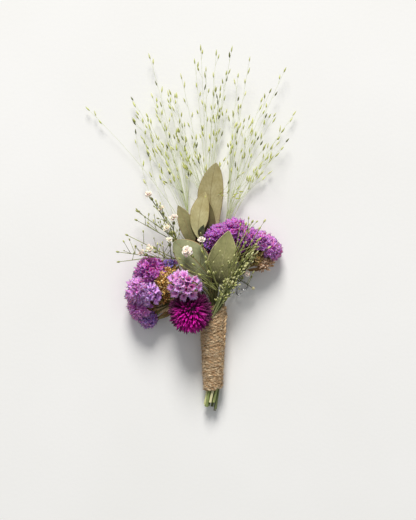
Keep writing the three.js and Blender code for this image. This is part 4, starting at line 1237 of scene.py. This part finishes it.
for tuft in GRASS:
    chance = random.Random(tuft["seed"])
    tips = tuft["tips"]
    fork = Vector(tuft["stem"][3][-1])
    main = grass_bend(fork, Vector(tips[0]))
    bends = [(main, BARE_SHARE)]
    for tip in tips[1:]:
        share = held(0.3 - abs(tip[0] - tips[0][0]) / 90, 0.06, 0.3)
        bends.append((grass_bend(at(main, share), Vector(tip)), BARE_TIP if tip[0] < -50 else BARE_SHARE))
    for knee, tip in tuft["steep"]:
        bends.append(((fork, Vector(knee), Vector(tip)), BARE_STEEP))
    low, high = (Vector(corner) for corner in tuft["field"])
    for index in range(tuft["finer"]):
        across = (index + chance.random()) / tuft["finer"]
        lowest = low.y + tuft["slant"] * (1 - across)
        height = chance.uniform(lowest, high.y)
        tip = Vector((lerp(low.x, high.x, across), height, chance.uniform(low.z, high.z)))
        carrier = min((bend for bend, _ in bends[:len(tips)]), key=lambda bend: abs(bend[2].x - tip.x))
        bends.append((grass_bend(at(carrier, chance.uniform(0.02, 0.16)), tip), BARE_FINER))
    lines = [stem_line(*tuft["stem"], paint("#9aa268"))]
    seeds = []

    def hang(foot, along):
        size = SPIKELET_LENGTH * chance.uniform(*SPIKELET_LENGTH_RANGE)
        girth = SPIKELET_RADIUS * chance.uniform(*SPIKELET_GIRTH_RANGE)
        tone = toned(paint(chance.choice(SPIKELET_TONES)), chance, 0.15)
        seeds.append((spikelet, aimed(foot, along, chance.uniform(0, 6.3), (girth, girth, size)), tone))

    for bend, bare in bends:
        points = arc(bend)
        radii = [lerp(*GRASS_RADIUS, i / BEND_STEPS) for i in range(len(points))]
        greener = [blended(GRASS_GREEN, GRASS_PALE, held(i / 5)) for i in range(len(points))]
        lines.append((points, radii, greener))
        hang(points[-1], (points[-1] - points[-2]).normalized())
        length = sum((a - b).length for a, b in zip(points, points[1:]))
        count = round(length * (1 - bare) / SPIKELET_SPACING)
        for i in range(count):
            t = bare + (STALK_END - bare) * (i + 0.2 + 0.5 * chance.random()) / count
            root = at(bend, t)
            ahead = (at(bend, min(t + 0.02, 1)) - root).normalized()
            hand = 1 if i % 2 == 0 else -1
            outward = Matrix.Rotation(math.radians(chance.uniform(*SIDE_ANGLES)) * hand, 3, "Z") @ ahead
            outward.z += chance.uniform(-0.05, 0.12)
            foot = root + outward.normalized() * chance.uniform(*SIDE_LENGTHS)
            foot.z = max(foot.z, LOWEST_SPIKELET)
            lines.append(([root, foot], list(SIDE_RADIUS), GRASS_PALE))
            hang(foot, (outward.normalized() + Vector((0, 0.6, 0))).normalized())
    settle(stalks(lines, 0), tuft["name"] + "_stalks", straw, "grass", tuft["name"])
    settle(planted(seeds), tuft["name"] + "_spikelets", husk_finish, "grass")


# Filler flowers
# Two forking sprays of thin green stalks carry small double white flowers, closed buds and green cups. They
# reach out on the left and stand over the leaves in front, where a thicket of fine stems leaves the handle.

TWIG_RADIUS = 0.17
TWIG_TAPER = (1.3, 0.75)
BUD_LENGTH = 1.8
CLEARANCE = 0.3
BROAD = 2.5
GREEN_CUP = (0.75, "#7d8448")
PALE_BUD = (0.8, "#e6dcae")
GREEN_BUD = (0.5, "#9aa05a")
LOW_BUD = 7
HIGH_FLOWER = 15
SHOOT_ARCH = Vector((0, 0, 0.8))
THICKET_STEMS = 74
UNDERGROWTH_STEMS = 34
FAR_BUDS = [
    (13.9, 35.4, 17), (15.1, 31.8, 16), (22, 36.9, 17), (19.8, 33.6, 16), (12.6, 25.2, 17), (16.4, 27.9, 16),
    (18, 26.4, 15), (19.8, 28.8, 15), (23.9, 25.3, 14), (16.7, 24, 15), (14.6, 21.6, 15), (12.2, 19.4, 16),
    (-8.4, 17.6, 17), (-5.6, 13.2, 17), (-13.6, 17.4, 17), (-10, 12.8, 18), (-3.2, 20.4, 17), (-7.4, 9.4, 17),
    (-14.6, 20.2, 16), (-1.6, 14.2, 17), (-4.8, 23.2, 16),
]
FAR_RADIUS = 0.12
FAR_GIRTH = 0.52
FAR_ARCH = Vector((0, 1.2, 1))
EXTRA_RADIUS = 0.11
EXTRA_GIRTHS = (0.28, 0.45)
THICKET_LEFT_TO_RIGHT = (-3.2, 2.6)
THICKET_DOWN_TO_UP = (-8.5, -2.5)
THICKET_FEET = (9.2, 10.8)
THICKET_RADII = (0.08, 0.19)
THICKET_GIRTHS = (0.3, 0.5)
THICKET_KNEES = ((1.8, 2.5, 12), (7, 8, 14.5))
SIDE_TWIG_SHARES = (0.35, 0.6, 0.82)
SIDE_TWIG = 2.2
SIDE_TWIG_RADIUS = 0.08
SIDE_GIRTHS = (0.25, 0.4)
UNDERGROWTH_RADII = (0.14, 0.3)
UNDERGROWTH_STARTS = ((-2.4, -7, 8.4), (0.6, -3, 9.4))
UNDERGROWTH_KNEES = ((-1.4, 1, 9.5), (2, 6, 12))
UNDERGROWTH_ENDS = ((-6, 8, 9), (2.5, 15, 12))
THICKET_LOW = Vector((5.4, 8.6, 14))
THICKET_HIGH = Vector((18, 23.8, 13.6))
THICKET_KNEE = Vector((7, 10.6, 14.6))
LEFT_KNEE = Vector((2.4, 6, 14))
GREENS = ["#6f7340", "#8b9152", "#9fa662", "#5c5f36", "#a9ad6c"]
THICKET_GREENS = ["#6c7142", "#9aa36c", "#3e4126", "#43452a", "#a9b27a", "#c6cc98", "#5c5f36"]
SHADED_GREENS = ["#3e4126", "#4c4f2c", "#2f3220", "#6c6238"]
DARK_GREENS = ["#7f8550", "#979e5e", "#666b3f", "#aab06a"]
BUD_GREENS = ["#b9bf68", "#9da35a", "#cfd08a", "#8c8f4c"]
THICKET_BUDS = ["#cdd17c", "#e2e3a6", "#b4ba66", "#dcd9a0"]
CREAM = ["#fbf6ea", "#f6ecdc", "#f3e2d6"]
BEIGE = ["#eadfcb", "#e2d5bb", "#e9dace"]

# A branch is its flower's middle, the point that it bends over, the flower's radius, or 0 for a bud, and its
# shoots. A shoot is its middle, the share of the branch where it leaves, and its radius.
FILLER = [
    {
        "name": "babys_breath_left", "seed": 71,
        "stem": ("babysBreathLeft", -45, 0, [(0.4, 8, 6), (-7, 13, 6.2), (-12, 21, 7)]),
        "branches": [
            ((-29.5, 50.1, 12), (-18, 32, 7), 2.0, [
                ((-34.7, 42.3, 7), 0.35, 0), ((-23.9, 43.7, 12), 0.55, 1.6), ((-35.1, 38.3, 8), 0.28, 0)]),
            ((-17.8, 39.8, 13), (-18.5, 28, 9), 2.1, [((-21.2, 35, 12), 0.35, 2.1)]),
            ((-32.9, 23.4, 14), (-21, 20, 10), 1.7, [
                ((-28.8, 25.2, 16), 0.45, 2.0), ((-20, 29.6, 14), 0.4, 1.6), ((-39.2, 31.5, 10), 0.3, 0),
                ((-43.2, 23.9, 12), 0.7, 0), ((-42.8, 19.4, 14), 0.8, 0)]),
        ],
        "extras": 26, "drift": (-0.5, 1, 0.1), "reach": (2.5, 7), "greens": DARK_GREENS, "whites": BEIGE,
    },
    {
        "name": "babys_breath_front", "seed": 72,
        "stem": ("babysBreathFront", -44, 2, [(3.2, 3.5, 9), (3.6, 5, 9.6), (4.4, 6.5, 10.4)]),
        "branches": [
            ((-12.2, 24.6, 17.5), (-2, 14, 15), 2.8, [
                ((-5.7, 29.6, 16), 0.55, 1.8), ((-11.3, 15.3, 19), 0.4, 0), ((-4, 9.9, 16), 0.2, 0),
                ((-3.6, 19, 18), 0.35, 0)]),
            ((11.7, 36, 18), (9, 20, 20), 0, [
                ((3.6, 14.9, 20), 0.15, 0), ((6.3, 19.4, 21), 0.25, 0), ((14, 27.9, 19), 0.45, 0),
                ((17.1, 37.4, 18), 0.6, 0), ((19.4, 26.1, 17), 0.52, 0)]),
            ((14.7, 14.6, 12), (10, 9, 11), 2.2, [((10.8, 21, 15), 0.3, 0), ((17.7, 7.5, 6), 0.93, 0)]),
        ],
        "extras": 12, "drift": (0.35, 1, 0.25), "reach": (3, 9), "greens": GREENS, "whites": CREAM,
    },
]


def petal_blade():
    """A cupped petal with a ragged end"""
    pattern = grown(6, [(0, 0.2), (0.35, 0.62), (0.7, 1.0), (0.95, 0.85), (1.02, 0)])
    for corner in pattern.data.vertices:
        corner.co.x *= 0.42
        corner.co.y = corner.co.y * 0.07 - 0.22 * corner.co.z ** 2 + 0.1 * (corner.co.x / 0.42) ** 2
    return measured(pattern)


def double_flower(chance, tiers):
    """Tiers of petals, the inner ones shorter and closer. A tier is its count, tilt in degrees and length"""
    petal_pattern = petal_blade()
    petals = []
    for count, tilt, length in tiers:
        for k in range(count):
            reach = length * chance.uniform(0.78, 1.08)
            turn = 2 * math.pi * (k + chance.uniform(0, 0.6)) / count
            lean = math.radians(tilt + chance.uniform(-12, 12))
            out = Vector((math.cos(turn), math.sin(turn), 0))
            along = math.sin(lean) * out + Vector((0, 0, math.cos(lean)))
            side = along.cross(out).normalized()
            basis = Matrix((side, along.cross(side), along)).transposed().to_4x4()
            petals.append((petal_pattern, basis @ Matrix.Scale(reach, 4), WHITE))
    flower = planted(petals)
    put_away(petal_pattern)
    return flower


CUP = ((6, 44, 1.25), (6, 28, 1.2), (5, 12, 1.05))
ROSETTE = ((8, 86, 1.0), (7, 64, 0.95), (6, 38, 0.85), (4, 14, 0.75))
cups = [double_flower(random.Random(81), CUP), double_flower(random.Random(82), CUP)]
rosette = double_flower(random.Random(83), ROSETTE)
bud = measured(grown(6, [(0, 0.3), (0.25, 0.85), (0.55, 1), (0.85, 0.6), (1, 0)]))
long_bud = measured(grown(6, [(0, 0.35), (0.4, 1), (0.75, 0.7), (1, 0)]))

# Painted shade: each petal turns pinkish beige towards its foot, down in the flower's cup
cream = flecked("cream petal", 0.75, (0.9, 3.0, 0.15, "#e6d9bd"), 0.05, (0.6, 0.05, 0.5, "#d8b79c"),
                Subsurface_Weight=0.2, Subsurface_Scale=0.0015)
bud_finish = flecked("green bud", 0.7, (0.7, 3.0, 0.3, "#5d6433"), 0.05, (0.55, 0.95, 0.6, "#e3dfb0"))


def within(low, high, chance):
    """A place at random between two corners"""
    return Vector([chance.uniform(a, b) for a, b in zip(low, high)])


for spray in FILLER:
    chance = random.Random(spray["seed"])
    fork = Vector(spray["stem"][3][-1])
    lines = [stem_line(*spray["stem"], paint(STEM_GREEN))]
    buds = []
    whites = []

    def twig(points, radius, tone):
        last = len(points) - 1
        thick, thin = (radius * share for share in TWIG_TAPER)
        lines.append((points, [lerp(thick, thin, i / last) for i in range(last + 1)], tone))

    def small_bud(foot, along, girth, tones):
        buds.append((long_bud, aimed(foot, along, 0, (girth, girth, girth * 4)), paint(chance.choice(tones))))

    def side_twig(start, arch, goal, steps, radius, tones):
        """An arched twig to a small bud, which it gives the direction of"""
        points = bent([start, start.lerp(goal, 0.5) + arch, goal], steps)
        twig(points, radius, paint(chance.choice(tones)))
        return (goal - points[-2]).normalized()

    def grow(start, over, tip, radius):
        """A twig from its start, over a bend, to the middle of its flower or bud"""
        along = (tip - over).normalized()
        room = CLEARANCE + radius * 0.9 if radius else -BUD_LENGTH / 2
        end = tip - along * (BUD_LENGTH + room)
        bend = (start, over, end)
        twig(arc(bend), TWIG_RADIUS, paint(chance.choice(spray["greens"])))
        girth, tone = GREEN_CUP if radius else PALE_BUD if tip.z < LOW_BUD else GREEN_BUD
        buds.append((bud, aimed(end, along, 0, (girth, girth, BUD_LENGTH)), paint(tone)))
        if radius:
            broad = radius > BROAD
            raised = (along + Vector((0, 0, 1.2 if broad or tip.z > HIGH_FLOWER else 0.6))).normalized()
            seat = tip - raised * radius * (0.4 if broad else 0.85)
            shade = toned(paint(chance.choice(spray["whites"])), chance, 0.04)
            flower = rosette if broad else chance.choice(cups)
            whites.append((flower, aimed(seat, raised, chance.uniform(0, 6), (radius,) * 3), shade))
        return bend

    for tip, over, radius, shoots in spray["branches"]:
        stalk = grow(fork, Vector(over), Vector(tip), radius)
        grown_bends = [stalk]
        for goal, share, small in shoots:
            start = at(stalk, share)
            goal = Vector(goal)
            grown_bends.append(grow(start, start.lerp(goal, 0.5) + SHOOT_ARCH, goal, small))
        for _ in range(spray["extras"]):
            start = at(chance.choice(grown_bends), chance.uniform(0.15, 0.9))
            drift = strayed(Vector(spray["drift"]).normalized(), chance, 0.4)
            goal = start + drift * chance.uniform(*spray["reach"])
            goal.z = held(goal.z, 2, 21)
            along = side_twig(start, SHOOT_ARCH * 0.6, goal, 6, EXTRA_RADIUS, spray["greens"])
            small_bud(goal, along, chance.uniform(*EXTRA_GIRTHS), BUD_GREENS)

    if spray["name"] == "babys_breath_front":
        for far in FAR_BUDS:
            goal = Vector(far)
            start = (THICKET_KNEE if goal.x > 0 else LEFT_KNEE).lerp(goal, 0.12)
            along = side_twig(start, FAR_ARCH, goal, 8, FAR_RADIUS, GREENS)
            small_bud(goal, along, FAR_GIRTH, BUD_GREENS[:3])
        for _ in range(THICKET_STEMS):
            aside = chance.random()
            start = Vector((
                lerp(*THICKET_LEFT_TO_RIGHT, aside), lerp(*THICKET_DOWN_TO_UP, aside),
                chance.uniform(*THICKET_FEET),
            ))
            knee = within(*THICKET_KNEES, chance)
            goal = THICKET_LOW.lerp(THICKET_HIGH, chance.random() ** 1.1) + 1.6 * anywhere(chance)
            goal.z = held(goal.z, 8, 20)
            along = (goal - knee).normalized()
            tone = paint(chance.choice(THICKET_GREENS))
            bend = (start, knee, goal)
            twig(arc(bend), chance.uniform(*THICKET_RADII), tone)
            small_bud(goal, along, chance.uniform(*THICKET_GIRTHS), THICKET_BUDS)
            for share in SIDE_TWIG_SHARES:
                foot = at(bend, share + chance.uniform(-0.08, 0.08))
                way_out = strayed(along, chance, 0.4)
                end = foot + way_out * SIDE_TWIG
                twig([foot, end], SIDE_TWIG_RADIUS, tone)
                small_bud(end, way_out, chance.uniform(*SIDE_GIRTHS), THICKET_BUDS)

        for _ in range(UNDERGROWTH_STEMS):
            start = within(*UNDERGROWTH_STARTS, chance)
            bend = (start, within(*UNDERGROWTH_KNEES, chance), within(*UNDERGROWTH_ENDS, chance))
            twig(arc(bend), chance.uniform(*UNDERGROWTH_RADII), paint(chance.choice(SHADED_GREENS)))

    settle(above_table(stalks(lines, 0)), spray["name"] + "_stalks", stalk_finish.material, "green_stalk",
           spray["name"] + "_stems")
    settle(planted(buds), spray["name"] + "_buds", bud_finish, "green_stalk")
    nodes = [f"{spray['name']}_flower_{i + 1}" for i in range(len(whites))]
    settle(planted(whites), spray["name"] + "_flowers", cream, "white_petals", *nodes)

put_away(*RUFFLED, *OPEN, SCALE_LEAF, HEAP, bract, heart, spikelet, *cups, rosette, bud, long_bud)
